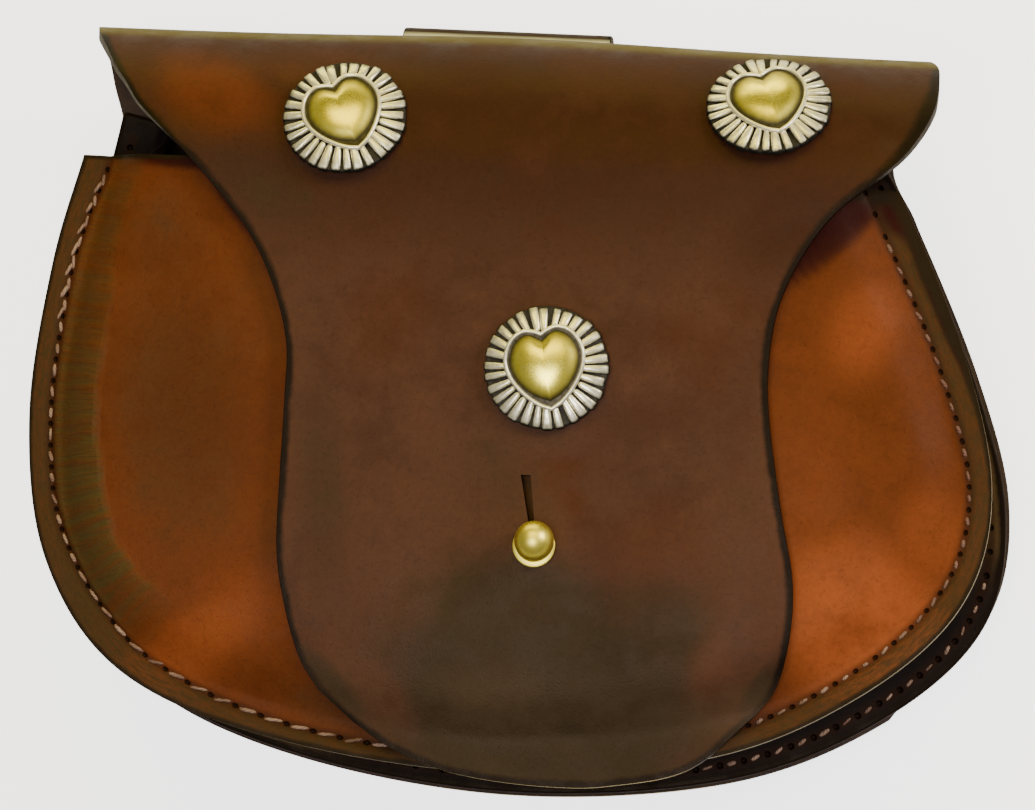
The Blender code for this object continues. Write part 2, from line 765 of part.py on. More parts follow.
def make_stud(parts, cutters, bag, material):
    """Ball, collar, neck, foot and hollow shank, and the screw that comes up it from inside the bag."""
    x, y = flap_spot(STUD)
    frame = stud_frame()
    flap_face = flap_level(x, y) + BACK_THICK / 2 - frame.translation.z
    collar_low = flap_face + SEAM_GAP
    collar_top = collar_low + COLLAR_THICK
    neck = NECK_DIAMETER / 2
    ball = BALL_DIAMETER / 2
    waist = math.asin(neck / ball)
    centre = collar_top + ball * math.cos(waist)
    profile = []
    for i in range(9):
        angle = i / 8 * (math.pi - waist)
        profile.append((ball * math.sin(angle), centre + ball * math.cos(angle)))
    profile += [
        (COLLAR_DIAMETER / 2, collar_top),
        (COLLAR_DIAMETER / 2, collar_low),
        (neck, collar_low),
        (neck, SEAM_GAP + FOOT_THICK),
        (FOOT_DIAMETER / 2, SEAM_GAP + FOOT_THICK),
        (FOOT_DIAMETER / 2, SEAM_GAP),
        (neck, SEAM_GAP),
        (neck, -PANEL_THICK),
        (BORE_DIAMETER / 2, -PANEL_THICK),
        (BORE_DIAMETER / 2, FOOT_THICK),
        (0, FOOT_THICK),
    ]
    mesh = finished_mesh(turned("stud_blank", profile, 18, cutters), "stud")
    mesh.materials.append(material)
    stud = new_object("stud", mesh, parts, bag)
    stud.matrix_local = frame
    head_top = -(PANEL_THICK + SEAM_GAP)
    shank = SCREW_DIAMETER / 2
    head = SCREW_HEAD / 2
    screw_profile = [
        (0, 0),
        (shank, 0),
        (shank, head_top),
        (head, head_top),
        (head, head_top - HEAD_THICK),
        (0, head_top - HEAD_THICK),
    ]
    screw_mesh = finished_mesh(turned("stud_screw_blank", screw_profile, 16, cutters), "stud_screw")
    screw_mesh.materials.append(material)
    screw = new_object("stud_screw", screw_mesh, parts, bag)
    screw.matrix_local = frame


def main():
    clear_scene()
    parts = new_collection("belt_bag")
    cutters = new_collection("cutters")
    bag = bpy.data.objects.new("bag_frame", None)
    bag.location = BAG_PLACE
    parts.objects.link(bag)
    dark = new_material("flap_leather", (0.088, 0.036, 0.014), 0.5)
    tan = new_material("front_leather", (0.26, 0.062, 0.012), 0.5)
    black = new_material("gusset_leather", (0.022, 0.010, 0.007), 0.55)
    strap = new_material("loop_leather", (0.045, 0.020, 0.010), 0.55)
    silver = new_material("antique_silver", (0.62, 0.58, 0.44), 0.3, 1.0)
    brass = new_material("brass", (0.72, 0.50, 0.16), 0.25, 1.0)
    make_back_and_flap(parts, cutters, bag, dark)
    make_front_panel(parts, cutters, bag, tan)
    make_gusset(parts, bag, black)
    make_belt_loop(parts, strap)
    make_conchos(parts, cutters, bag, silver)
    make_screws(parts, cutters, bag, silver)
    make_stud(parts, cutters, bag, brass)


main()
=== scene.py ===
# %% [markdown]
# # A leather belt bag, dressed
# The model of the bag is already built to size, with every piece where it belongs. This lesson gives it its
# looks: finer leather with rounded edges, thread in the seams, cast metal with dark grooves, and materials
# that carry the dye, the wear and the grain. Everything is in metres, and the bag lies on its back.

import math
from contextlib import contextmanager

import bpy
import numpy as np
from mathutils import Matrix, Vector, kdtree


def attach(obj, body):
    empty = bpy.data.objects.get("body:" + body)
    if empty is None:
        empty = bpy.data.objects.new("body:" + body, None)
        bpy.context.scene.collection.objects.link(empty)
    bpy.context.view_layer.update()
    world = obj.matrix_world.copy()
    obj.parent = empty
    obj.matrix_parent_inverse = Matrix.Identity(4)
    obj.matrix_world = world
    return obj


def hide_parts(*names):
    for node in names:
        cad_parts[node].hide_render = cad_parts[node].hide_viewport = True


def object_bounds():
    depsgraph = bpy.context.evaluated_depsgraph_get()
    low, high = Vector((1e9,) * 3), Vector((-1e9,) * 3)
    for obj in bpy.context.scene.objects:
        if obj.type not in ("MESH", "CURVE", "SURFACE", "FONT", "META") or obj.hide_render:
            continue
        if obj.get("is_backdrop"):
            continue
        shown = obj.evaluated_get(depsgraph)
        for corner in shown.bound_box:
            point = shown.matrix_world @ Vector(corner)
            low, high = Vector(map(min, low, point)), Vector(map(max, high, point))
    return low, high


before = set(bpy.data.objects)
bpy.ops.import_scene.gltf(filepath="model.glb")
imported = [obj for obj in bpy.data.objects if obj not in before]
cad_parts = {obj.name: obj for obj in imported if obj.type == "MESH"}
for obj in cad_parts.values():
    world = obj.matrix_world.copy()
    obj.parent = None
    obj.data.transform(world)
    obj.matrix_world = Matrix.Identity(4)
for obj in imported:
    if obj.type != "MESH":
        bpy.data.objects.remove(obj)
cad_box = [list(corner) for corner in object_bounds()]
MM = 0.001
print("nodes:", sorted(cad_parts))

# %% [markdown]
# ## One outline for every layer
# A saddler cuts the front, the gusset and the back from one pattern, so that their edges meet in the seam.
# Here the pattern is a short table of points with a smooth curve through them. The same table shaped the
# plain model, so whatever is laid out from it fits without any moving about.

# %% The pattern's outline
HALF_WIDTH = 97.5 * MM
PANEL_HEIGHT = 120.4 * MM
BACK_MARGIN = 2.5 * MM
BAG_PLACE = np.array([10.4, 11.2, 0.0]) * MM
# across as a share of half the width, down as a share of the height, and the back's margin beyond the front
OUTLINE = [
    (-0.894, -0.115, 1.0), (-0.924, 0.0, 1.0), (-0.975, 0.19, 1.0), (-1.0, 0.45, 0.8), (-0.943, 0.689, 0.5),
    (-0.771, 0.867, 0.4), (-0.45, 0.963, 0.8), (0.0, 1.0, 1.2), (0.444, 0.958, 1.4), (0.742, 0.847, 1.7),
    (0.945, 0.69, 1.7), (1.0, 0.5, 0.9), (0.93, 0.27, 0.4), (0.778, 0.0, 0.4), (0.721, -0.074, 0.6),
]


def smooth_line(points, per_span=12):
    """A dense line on a smooth curve through the points."""
    p = np.array(points, float)
    p = np.vstack([2 * p[0] - p[1], p, 2 * p[-1] - p[-2]])
    line = []
    for a, b, c, d in zip(p, p[1:], p[2:], p[3:]):
        for t in np.arange(per_span) / per_span:
            bend = (2 * a - 5 * b + 4 * c - d) * t**2
            line.append((2 * b + (c - a) * t + bend + (3 * b - a - 3 * c + d) * t**3) / 2)
    line.append(p[-2])
    return np.array(line)


def lengths_along(line):
    return np.concatenate([[0], np.cumsum(np.linalg.norm(np.diff(line, axis=0), axis=1))])


def even_line(line, step):
    """The same line with points at even steps."""
    far = lengths_along(line)
    places = np.linspace(0, far[-1], round(far[-1] / step) + 1)
    return np.stack([np.interp(places, far, line[:, i]) for i in range(line.shape[1])], axis=1)


def soft_step(t):
    t = np.clip(t, 0, 1)
    return t * t * (3 - 2 * t)


def look_up(table, at, column=1):
    """A column of a table, read at places between its rows."""
    return np.interp(at, table[:, 0], table[:, column])


outline = smooth_line([(a * HALF_WIDTH, -d * PANEL_HEIGHT, m * BACK_MARGIN) for a, d, m in OUTLINE])
sewn = outline[:, :2]
along = np.gradient(sewn, axis=0)
along /= np.linalg.norm(along, axis=1)[:, None]
inward = np.stack([-along[:, 1], along[:, 0]], axis=1)
margin = outline[:, 2]
back_edge = sewn - inward * margin[:, None]
sewn_far = lengths_along(sewn)
bottom = int(np.argmin(sewn[:, 1]))
mouth_left = np.interp(0, sewn[: bottom + 1][::-1, 1], sewn_far[: bottom + 1][::-1])
mouth_right = np.interp(0, sewn[bottom:, 1], sewn_far[bottom:])
print("the sewn edge is", round(sewn_far[-1] / MM), "mm long")

# %% [markdown]
# ## The swell of the front
# A full bag pushes its front out. On the left the leather was pressed over a form, so it climbs in one steep
# wall with a crease at its top; everywhere else it swells softly. The height only depends on how far in from
# the edge a point is, so one table with two columns holds the whole shape.

# %% The front's swell
DOME_RISE = 6.0 * MM
DOME_SPAN = 45 * MM
# share of the span, rise where the leather is pressed, rise where it is soft
SWELL = smooth_line([
    (0.0, 0.0, 0.0), (0.13, 0.0, 0.01), (0.18, 0.10, 0.09), (0.25, 0.52, 0.30), (0.32, 0.76, 0.52),
    (0.42, 0.85, 0.70), (0.60, 0.92, 0.88), (0.80, 0.97, 0.97), (1.0, 1.0, 1.0),
])
PRESSED_TO, PRESSED_FADE = 1.36 * math.pi, 0.12 * math.pi
mouth_middle = np.array([(OUTLINE[1][0] + OUTLINE[-2][0]) / 2 * HALF_WIDTH, 0.0])
ray = sewn - mouth_middle
edge_reach = np.linalg.norm(ray, axis=1)
edge_bearing = np.unwrap(np.arctan2(ray[:, 1], ray[:, 0]) % (2 * math.pi))
edge_square = -np.sum(inward * ray, axis=1) / edge_reach


def pressed_side(bearing):
    """1 on the pressed left, 0 on the soft rest."""
    return soft_step((PRESSED_TO - bearing) / PRESSED_FADE)


def dome_rise(inset, bearing):
    share = inset / DOME_SPAN
    left = pressed_side(bearing)
    return DOME_RISE * np.clip(left * look_up(SWELL, share) + (1 - left) * look_up(SWELL, share, 2), 0, 1)


def edge_at(bearing):
    """How far the edge is from the middle of the mouth, and how squarely a ray from there meets it."""
    return np.interp(bearing, edge_bearing, edge_reach), np.interp(bearing, edge_bearing, edge_square)


def inset_and_bearing(x, y):
    dx, dy = x - mouth_middle[0], y - mouth_middle[1]
    bearing = np.arctan2(dy, dx) % (2 * math.pi)
    reach, square = edge_at(bearing)
    return (reach - np.hypot(dx, dy)) * square, bearing


print("the front swells by", DOME_RISE / MM, "mm within", DOME_SPAN / MM, "mm of its edge")

# %% [markdown]
# ## Round the fold and down the flap
# Back and flap are one hide: up the back, over the top and down the front. The fold is half a turn on an
# oval, and the flap then settles on the swelling front, a hair's breadth above it. Its two side edges and
# its tip are tables too, because a hand-cut curve has no formula.

# %% The flap's outline and level
LEATHER = {"back": 2.4 * MM, "front": 2.2 * MM, "gusset": 1.8 * MM, "loop": 2.2 * MM}
SEAM_GAP = 0.3 * MM
FOLD_REACH = 28.7 * MM
FLAP_DROP = 123.8 * MM
BOTTOM_CORNER = 0.86
BACK_LEVEL = 10.9 * MM
RIM_HIGH = 38.2 * MM
FLAP_GAP = 0.6 * MM
APEX_SHARE = 0.315
LIFT, LIFT_WIDE = 1.2 * MM, 13 * MM
RIM_LEVEL = BACK_LEVEL - LEATHER["back"] / 2 + RIM_HIGH - LEATHER["front"] / 2
FLAP_ABOVE = (LEATHER["front"] + LEATHER["back"]) / 2 + FLAP_GAP
FLAP_LEVEL = RIM_LEVEL + DOME_RISE + FLAP_ABOVE
APEX_LEVEL = BACK_LEVEL + APEX_SHARE * (FLAP_LEVEL - BACK_LEVEL)
# turn in degrees from the back to the flap, then the left and the right edge
FOLD_SIDES = smooth_line([
    (0, -0.951, 0.790), (20, -0.915, 0.740), (45, -0.937, 0.772), (70, -0.948, 0.793), (90, -0.953, 0.800),
    (105, -0.943, 0.822), (120, -0.920, 0.842), (140, -0.872, 0.846), (150, -0.838, 0.838),
    (160, -0.803, 0.817), (170, -0.749, 0.782), (180, -0.692, 0.726),
])
# share of the drop, then the left and the right edge
FLAP_SIDES = smooth_line([
    (0.0, -0.692, 0.726), (0.052, -0.628, 0.652), (0.124, -0.550, 0.591), (0.206, -0.493, 0.550),
    (0.298, -0.456, 0.537), (0.389, -0.451, 0.545), (0.531, -0.450, 0.579), (0.639, -0.446, 0.610),
    (0.724, -0.424, 0.611), (0.806, -0.388, 0.588), (0.855, -0.345, 0.552),
])
FLAP_TIP = smooth_line([
    (-0.345, 0.855), (-0.225, 0.930), (-0.114, 0.968), (0.0, 0.985), (0.141, 0.991), (0.26, 0.984),
    (0.42, 0.950), (0.552, 0.855),
])
# across, and how far along the hide: 1 to 2 is round the fold, 2 to 3 is down the flap; then the heart's lean
CONCHOS = {"left": (-0.365, 1.909, 27), "right": (0.505, 1.836, 20), "centre": (0.088, 2.324, 12)}
STUD = (0.085, 2.611, 0)
SLIT_TOP = (0.057, 2.497, 0)


def fold_place(turn):
    y = FOLD_REACH * np.sin(turn)
    reach = np.where(turn < math.pi / 2, APEX_LEVEL - BACK_LEVEL, FLAP_LEVEL - APEX_LEVEL)
    return y, APEX_LEVEL - reach * np.cos(turn)


def flap_spot(seat):
    """Where a piece of metal meets the flap, seen from the front."""
    across, run, _ = seat
    if run > 2:
        return across * HALF_WIDTH, -(run - 2) * FLAP_DROP
    return across * HALF_WIDTH, float(fold_place((run - 1) * math.pi)[0])


def flap_level(x, y):
    """Level of the flap's middle, lifted a little where a screw or the stud's foot lies under it."""
    settle = soft_step(-y / DOME_SPAN)
    lift = np.zeros_like(x * y)
    for seat in (CONCHOS["centre"], STUD):
        spot = flap_spot(seat)
        lift = np.maximum(lift, np.exp(-((x - spot[0]) ** 2 + (y - spot[1]) ** 2) / LIFT_WIDE**2))
    rise = (1 - settle) * DOME_RISE + settle * dome_rise(*inset_and_bearing(x, y))
    return RIM_LEVEL + FLAP_ABOVE + rise + LIFT * lift


print("the flap lies at", round(FLAP_LEVEL / MM, 1), "mm")

# %% [markdown]
# ## From a flat grid to a piece of leather
# Leather is bought flat and bent, and a grid is the flat sheet of modelling. Each piece starts as a grid
# primitive. Its points are then laid along the pattern, which no single edit tool can do. Solidify gives the
# leather its thickness and Bevel rounds its cut edge. Solidify also gives the rim and the underside material
# slots of their own: a hide has a smooth grain side, a rough flesh side and a burnished cut edge.

# %% The leather maker
pieces = {}


def deselect():
    if bpy.context.mode != "OBJECT":
        bpy.ops.object.mode_set(mode="OBJECT")
    bpy.ops.object.select_all(action="DESELECT")


def fresh(add, **settings):
    """A new primitive, selected alone."""
    deselect()
    add(**settings)
    return bpy.context.object


@contextmanager
def editing():
    """Edit mode with all selected for a while, then object mode again."""
    bpy.ops.object.mode_set(mode="EDIT")
    bpy.ops.mesh.select_all(action="SELECT")
    yield
    bpy.ops.object.mode_set(mode="OBJECT")


def apply_all(piece):
    deselect()
    bpy.context.view_layer.objects.active = piece
    piece.select_set(True)
    for name in [modifier.name for modifier in piece.modifiers]:
        bpy.ops.object.modifier_apply(modifier=name)


def crowd(u, pull):
    """Moves evenly spaced shares towards both ends, so that the edges get the finest cells."""
    return u - pull * np.sin(2 * math.pi * u) / (2 * math.pi)


def tree_of(points):
    """A tree that finds the nearest of the points."""
    tree = kdtree.KDTree(len(points))
    for i, point in enumerate(points):
        tree.insert(point, i)
    tree.balance()
    return tree


def lay_grid(name, columns, rows, place, seam):
    """A grid laid out by place(u, v), its seam coordinates as its UV map, and how far its points are from its rim."""
    piece = fresh(bpy.ops.mesh.primitive_grid_add, x_subdivisions=columns, y_subdivisions=rows, size=1)
    piece.name = piece.data.name = name
    flat = np.empty(len(piece.data.vertices) * 3)
    piece.data.vertices.foreach_get("co", flat)
    u, v = flat.reshape(-1, 3)[:, 0] + 0.5, flat.reshape(-1, 3)[:, 1] + 0.5
    points = np.stack(place(u, v), axis=1)
    piece.data.vertices.foreach_set("co", (points + BAG_PLACE).ravel())
    corner = np.empty(len(piece.data.loops), int)
    piece.data.loops.foreach_get("vertex_index", corner)
    piece.data.uv_layers[0].data.foreach_set("uv", seam(points)[corner].ravel())
    rim = tree_of(points[(u < 1e-6) | (u > 1 - 1e-6) | (v < 1e-6) | (v > 1 - 1e-6)])
    return piece, points, np.array([rim.find(point)[2] for point in points])


def thicken(piece, thickness, rounding, flip=False):
    """Doubles merged, wall added, cut edge rounded. Slots: grain side, cut edge, flesh side."""
    with editing():
        bpy.ops.mesh.remove_doubles(threshold=1e-6)
        if flip:
            bpy.ops.mesh.flip_normals()
    for _ in range(3):
        piece.data.materials.append(None)
    wall = piece.modifiers.new("wall", "SOLIDIFY")
    wall.thickness = thickness
    wall.offset = 0
    wall.use_even_offset = True
    wall.material_offset_rim = 1
    wall.material_offset = 2
    edge = piece.modifiers.new("edge", "BEVEL")
    edge.width = rounding
    edge.segments = 3
    edge.limit_method = "ANGLE"
    edge.angle_limit = math.radians(55)
    apply_all(piece)
    bpy.ops.object.shade_smooth()
    pieces[piece.name] = piece
    print(piece.name, len(piece.data.polygons), "faces")


def paint(piece, name, points, values):
    """Stores a value at every vertex: that of the nearest point of the sheet before it was thickened."""
    tree = tree_of(points + BAG_PLACE)
    layer = piece.data.attributes.new(name, "FLOAT", "POINT")
    nearest = [tree.find(vert.co)[1] for vert in piece.data.vertices]
    layer.data.foreach_set("value", np.asarray(values, float)[nearest])


# %% [markdown]
# ## Where the needle goes
# The holes of a hand-sewn seam are pricked along a line a few millimetres in from the edge, a little wider
# apart along the bottom. So each sheet gets a UV map that counts in stitches: U grows by one from a stitch to
# the next, and V is how far off the seam line a point lies. The thread and the holes can then both use it.

# %% Seam coordinates
PITCH = 5.0 * MM
# along the sewn edge, how far in the front's seam runs: it wanders, as a hand-pricked line does
FRONT_SEAM = np.array([
    (0, 5.0), (16, 5.6), (25, 4.75), (38, 4.1), (58, 4.4), (87, 4.45), (96, 5.15), (108, 5.85), (114, 6.3),
    (124, 5.8), (136, 5.3), (147, 4.3), (160, 3.5), (175, 3.1), (205, 3.2), (240, 3.8), (264, 4.4),
    (287, 4.75), (305, 5.05), (317, 4.6), (329, 4.45), (340, 4.7), (352, 5.4), (372, 6.05), (406, 6.7),
]) * MM
BACK_SEAM_INSET = 3.7 * MM
OFF_SEAM = 40.0
SEAM_STEP = 0.05 * MM
sewn_at = np.arange(0, sewn_far[-1], SEAM_STEP)
sewn_fine = [np.interp(sewn_at, sewn_far, column) for column in (*sewn.T, *inward.T, margin)]
sewn_line, sewn_in = np.stack(sewn_fine[:2], axis=1), np.stack(sewn_fine[2:4], axis=1)
sewn_margin = sewn_fine[4]
front_seam_in = look_up(FRONT_SEAM, sewn_at)


def nearest_on(line, points):
    """For each point, the line's nearest sample and how far off it is."""
    tree = tree_of([(*point, 0) for point in line])
    found = [tree.find((x, y, 0)) for x, y in points[:, :2]]
    return np.array([hit[1] for hit in found]), np.array([hit[2] for hit in found])


# along the sewn edge, how long a stitch is there
STITCHES = np.array([(0, 4.5), (100, 4.6), (125, 5.6), (190, 5.7), (230, 5.0)]) * MM
stitch_far = np.linspace(0, sewn_far[-1], 400)
stitch_long = look_up(STITCHES, stitch_far)
stitch_count = np.concatenate([[0], np.cumsum(np.diff(stitch_far) / stitch_long[1:])])


def front_seam_map(points):
    index, off = nearest_on(sewn_line, points)
    counted = np.interp(sewn_at[index], stitch_far, stitch_count)
    return np.column_stack([counted, (off - front_seam_in[index]) / PITCH])


def back_seam_map(points):
    index, off = nearest_on(sewn_line - sewn_in * sewn_margin[:, None], points)
    counted = np.interp(sewn_at[index], stitch_far, stitch_count)
    seam = np.column_stack([counted, (off - BACK_SEAM_INSET) / PITCH])
    seam[points[:, 2] > BACK_LEVEL + MM] = OFF_SEAM
    return seam


print("about", round(stitch_count[-1]), "stitches in the front seam")

# %% [markdown]
# ## Back and flap
# The biggest piece of leather. Its rows run from the bottom of the back, over the fold, to the tip of the
# flap, and its columns crowd towards the side edges, where the rounding needs short cells. The fold bows out
# a little in its middle. The last rows of the flap bend down, more and more, until they follow the tip.

# %% Lay out the back and flap
BACK_ROWS, FOLD_ROWS, FLAP_ROWS, HIDE_COLUMNS = 56, 64, 108, 108
FOLD_BOW, BOW_MIDDLE, BOW_WIDE = 0.045, -4 * MM, 42 * MM


def bowed(x):
    """How much further than elsewhere the fold reaches at x, as a factor."""
    return 1 + FOLD_BOW * np.exp(-(((x - BOW_MIDDLE) / BOW_WIDE) ** 2))


def side_of_back(y, right):
    half = back_edge[int(np.argmin(back_edge[:, 1])):]
    if not right:
        half = back_edge[: int(np.argmin(back_edge[:, 1])) + 1][::-1]
    return np.interp(y, half[:, 1], half[:, 0])


def hide_place(u, v):
    across = crowd(u, 0.7)
    row = np.rint(v * (BACK_ROWS + FOLD_ROWS + FLAP_ROWS))
    back = row < BACK_ROWS
    flap = row >= BACK_ROWS + FOLD_ROWS
    back_share = np.clip(row / BACK_ROWS, 0, 1)
    turn = np.clip((row - BACK_ROWS) / FOLD_ROWS, 0, 1) * 180
    flap_share = np.clip((row - BACK_ROWS - FOLD_ROWS) / FLAP_ROWS, 0, 1)
    corner = -BOTTOM_CORNER * PANEL_HEIGHT
    back_y = corner * (1 - back_share)
    drop = -FLAP_TIP[0, 1] * FLAP_DROP
    fold_y, fold_z = fold_place(np.radians(turn))
    down = flap_share * FLAP_TIP[0, 1]
    left, right = (
        np.where(flap, look_up(FLAP_SIDES, down, side), look_up(FOLD_SIDES, turn, side)) * HALF_WIDTH for side in (1, 2)
    )
    left = np.where(back, side_of_back(back_y, False), left)
    right = np.where(back, side_of_back(back_y, True), right)
    x = left + (right - left) * across
    fold_y = fold_y * bowed(x)
    low = back_edge[back_edge[:, 1] < corner + BACK_MARGIN]
    back_y = back_y + (1 - back_share) * (np.interp(x, low[:, 0], low[:, 1]) - corner)
    tip = -np.interp(x, FLAP_TIP[:, 0] * HALF_WIDTH, FLAP_TIP[:, 1]) * FLAP_DROP
    flap_y = drop * flap_share + np.clip(2 * flap_share - 1, 0, 1) * (tip - drop)
    y = np.where(back, back_y, np.where(flap, flap_y, fold_y))
    z = np.where(back, BACK_LEVEL, np.where(flap, flap_level(x, flap_y), fold_z))
    return x, y, z


hide, hide_points, hide_edge = lay_grid(
    "back_and_flap_leather", HIDE_COLUMNS, BACK_ROWS + FOLD_ROWS + FLAP_ROWS, hide_place, back_seam_map
)
thicken(hide, LEATHER["back"], 0.75 * MM, flip=True)

# %% [markdown]
# ## The slit for the stud
# The stud's ball is pushed through a slit that widens away from the round hole it rests in. A wedge and a
# round bar are cut out of the finished leather with Boolean modifiers, which leave clean walls. A cube
# primitive becomes the wedge: its corners are moved to the slit's two ends.

# %% Cut the slit
slit_wide, slit_narrow, hole_wide, cut_deep = 2.0 * MM, 0.8 * MM, 5.0 * MM, 20 * MM
top_x, top_y = flap_spot(SLIT_TOP)
low_x, low_y = flap_spot(STUD)
wedge = fresh(bpy.ops.mesh.primitive_cube_add, size=1)
for vert in wedge.data.vertices:
    at_top = vert.co.y > 0
    middle = (top_x, top_y) if at_top else (low_x, low_y)
    wide = slit_wide if at_top else slit_narrow
    vert.co = Vector((middle[0] + vert.co.x * wide, middle[1], FLAP_LEVEL + vert.co.z * cut_deep))
    vert.co += Vector(BAG_PLACE)
bar = fresh(bpy.ops.mesh.primitive_cylinder_add, vertices=40, radius=hole_wide / 2, depth=cut_deep)
bar.data.transform(Matrix.Translation(Vector((low_x, low_y, FLAP_LEVEL)) + Vector(BAG_PLACE)))
for cutter in (wedge, bar):
    cutter.data.materials.clear()
    cut = hide.modifiers.new("cut", "BOOLEAN")
    cut.operation = "DIFFERENCE"
    cut.solver = "EXACT"
    cut.object = cutter
apply_all(hide)
for cutter in (wedge, bar):
    bpy.data.objects.remove(cutter, do_unlink=True)
bpy.ops.object.shade_smooth_by_angle(angle=math.radians(50))
print("slit", round((top_y - low_y) / MM, 1), "mm long")

# %% [markdown]
# ## Where the hide is rubbed, painted lighter and given a painted sheen
# The leathers will need to know three things about each point of the hide. How far is it from the rim, which
# is rubbed dark, with the dark band made wider on the flap's right ear? Does it lie in the bend low on the
# flap, where the slope faces away from the lights and is painted lighter against its shade? And is it on the
# crest of the fold, which gets a painted golden sheen? Each answer is kept as a value at the vertices.

# %% Mark the hide
EAR, EAR_SIZE, EAR_DARK_WIDER = np.array([81, 13]) * MM, np.array([9, 12]) * MM, 0.55
LOW_BEND, BEND_WIDE, BEND_LIGHTENING = -106 * MM, 5.5 * MM, 0.22
CREST_FROM = 0.85
BACK_BELOW, FRONT_ABOVE = 30 * MM, 40 * MM
level = hide_points[:, 2]
# the dark along the rim is made wider on the flap's right ear
on_ear = np.exp(-np.sum(((hide_points[:, :2] - EAR) / EAR_SIZE) ** 2, axis=1)) * (level > BACK_BELOW)
paint(hide, "edge", hide_points, hide_edge * (1 - EAR_DARK_WIDER * on_ear))
# painted light: the flap's low bend, where its slope faces away from the lights, is to be painted lighter
bent = np.exp(-(((hide_points[:, 1] - LOW_BEND) / BEND_WIDE) ** 2)) * (level > FRONT_ABOVE)
paint(hide, "worn", hide_points, BEND_LIGHTENING * bent)
# painted sheen: the crest of the fold is to get a golden tone at a glancing look
crest = hide_points[:, 1] / FOLD_REACH / bowed(hide_points[:, 0]) > CREST_FROM
golden = soft_step((level - BACK_BELOW) / (3 * MM)) * soft_step((FRONT_ABOVE + 3 * MM - level) / (5 * MM))
paint(hide, "fold", hide_points, crest * golden)
print("the golden crest is", round(float((crest * golden > 0.5).mean()) * 100, 1), "% of the hide's points")

# %% [markdown]
# ## The front panel
# A fan of rays from the middle of the mouth reaches every part of the round edge squarely. The rings between
# the rays lie close together near the edge, where the seam, the steep pressed wall and its crease are, and
# wide apart under the flap. Small ripples cross the steep wall, as they do where leather is pressed round a
# curve, and the seam sinks a little under its thread.

# %% Lay out the front panel
RAYS = 300
ring_in = np.concatenate([
    np.arange(0, 10, 0.62), np.arange(10, 20, 0.9), np.arange(20, 45, 2.4), [45],
]) * MM
ring_way = np.linspace(0, 1, 13)[1:]
RINGS = len(ring_in) + len(ring_way) - 1
RIPPLE = 0.20 * MM
SEAM_SINK = 0.30 * MM
WALL_IN, WALL_WIDE = 10 * MM, 3.6 * MM


def front_place(u, v):
    far = mouth_left + (mouth_right - mouth_left) * u
    bearing = np.interp(far, sewn_far, edge_bearing)
    reach, square = edge_at(bearing)
    ring = np.rint(v * RINGS).astype(int)
    inset = np.append(ring_in, np.full(len(ring_way), DOME_SPAN))[ring]
    way = np.append(np.zeros(len(ring_in)), ring_way)[ring]
    distance = (reach - inset / square) * (1 - way)
    x = mouth_middle[0] + distance * np.cos(bearing)
    y = mouth_middle[1] + distance * np.sin(bearing)
    z = RIM_LEVEL + dome_rise(inset, bearing)
    wall = np.exp(-(((inset - WALL_IN) / WALL_WIDE) ** 2)) * pressed_side(bearing)
    wave = np.sin(far / (1.1 * MM)) * np.sin(far / (2.9 * MM) + 1) + 0.6 * np.sin(far / (1.9 * MM))
    z = z + RIPPLE * wall * wave
    off = (inset - look_up(FRONT_SEAM, far)) / MM
    z = z - SEAM_SINK * np.exp(-(off**2)) * (way == 0)
    return x, y, z


front, front_points, front_edge = lay_grid("front_panel_leather", RAYS, RINGS, front_place, front_seam_map)
front_edge[front_points[:, 1] > -0.01 * MM] = 0
thicken(front, LEATHER["front"], 0.65 * MM)

# %% [markdown]
# ## The pressed band and the rim
# Between the seam and the crease the front was pressed hard, and its grain crinkled to a pale band. Beyond
# the seam its rim is darker. Both are kept at the vertices, and so is the distance to the cut edge, shortened
# up on the right, so that the dark along the edge reaches further in there.

# %% Mark the pressed band and the rim beyond the seam
# along the sewn edge in millimetres: how far in the crease is, and how strongly the band shows
CREASE = np.array([(0, 13.5), (25, 14.5), (60, 16.5), (90, 17.0), (125, 18.5)]) * MM
BAND = np.array([(4, 0), (14, 0.45), (50, 0.6), (75, 1), (112, 0.9), (130, 0)])
counted, past_seam = front_seam_map(front_points).T
far, past_seam = np.interp(counted, stitch_count, stitch_far), past_seam * PITCH
to_edge = inset_and_bearing(front_points[:, 0], front_points[:, 1])[0]
crease = look_up(CREASE, far) + 0.5 * MM * np.sin(far / (6 * MM)) + 0.25 * MM * np.sin(far / (2.1 * MM) + 1)
band = soft_step((crease - to_edge) / (2.0 * MM)) * soft_step((past_seam - 0.3 * MM) / (1.2 * MM))
band = band * look_up(BAND, far / MM)
paint(front, "pressed", front_points, band)
dark_reach = np.interp(sewn_far[-1] - far, [40 * MM, 70 * MM], [0.3, 1])
paint(front, "edge", front_points, front_edge * dark_reach)
paint(front, "rim", front_points, soft_step((0.4 * MM - past_seam) / (1.4 * MM)))
print("the band is", round(float((band > 0.5).mean()) * 100), "% of the front's points")

# %% [markdown]
# ## The gusset
# One long strip gives the bag its depth. It is folded to a channel: two flanges turn outwards and are sewn
# to the back and the front, and the web between them bows a little inwards. Soft leather that is pulled
# round a tight corner gathers, so the web gets shallow ripples. The strip's ends are cut at a slant, from
# high on the back to the mouth.

# %% Lay out the gusset
GUSSET_STEPS = 320
FLANGE = 8.5 * MM
SETBACK = 0.5 * MM
BEND = 3.0 * MM
BOW = 2.0 * MM
gusset_low = (LEATHER["back"] + LEATHER["gusset"]) / 2 + SEAM_GAP
gusset_high = RIM_LEVEL - (LEATHER["front"] + LEATHER["gusset"]) / 2 - SEAM_GAP
GATHER = 0.35 * MM


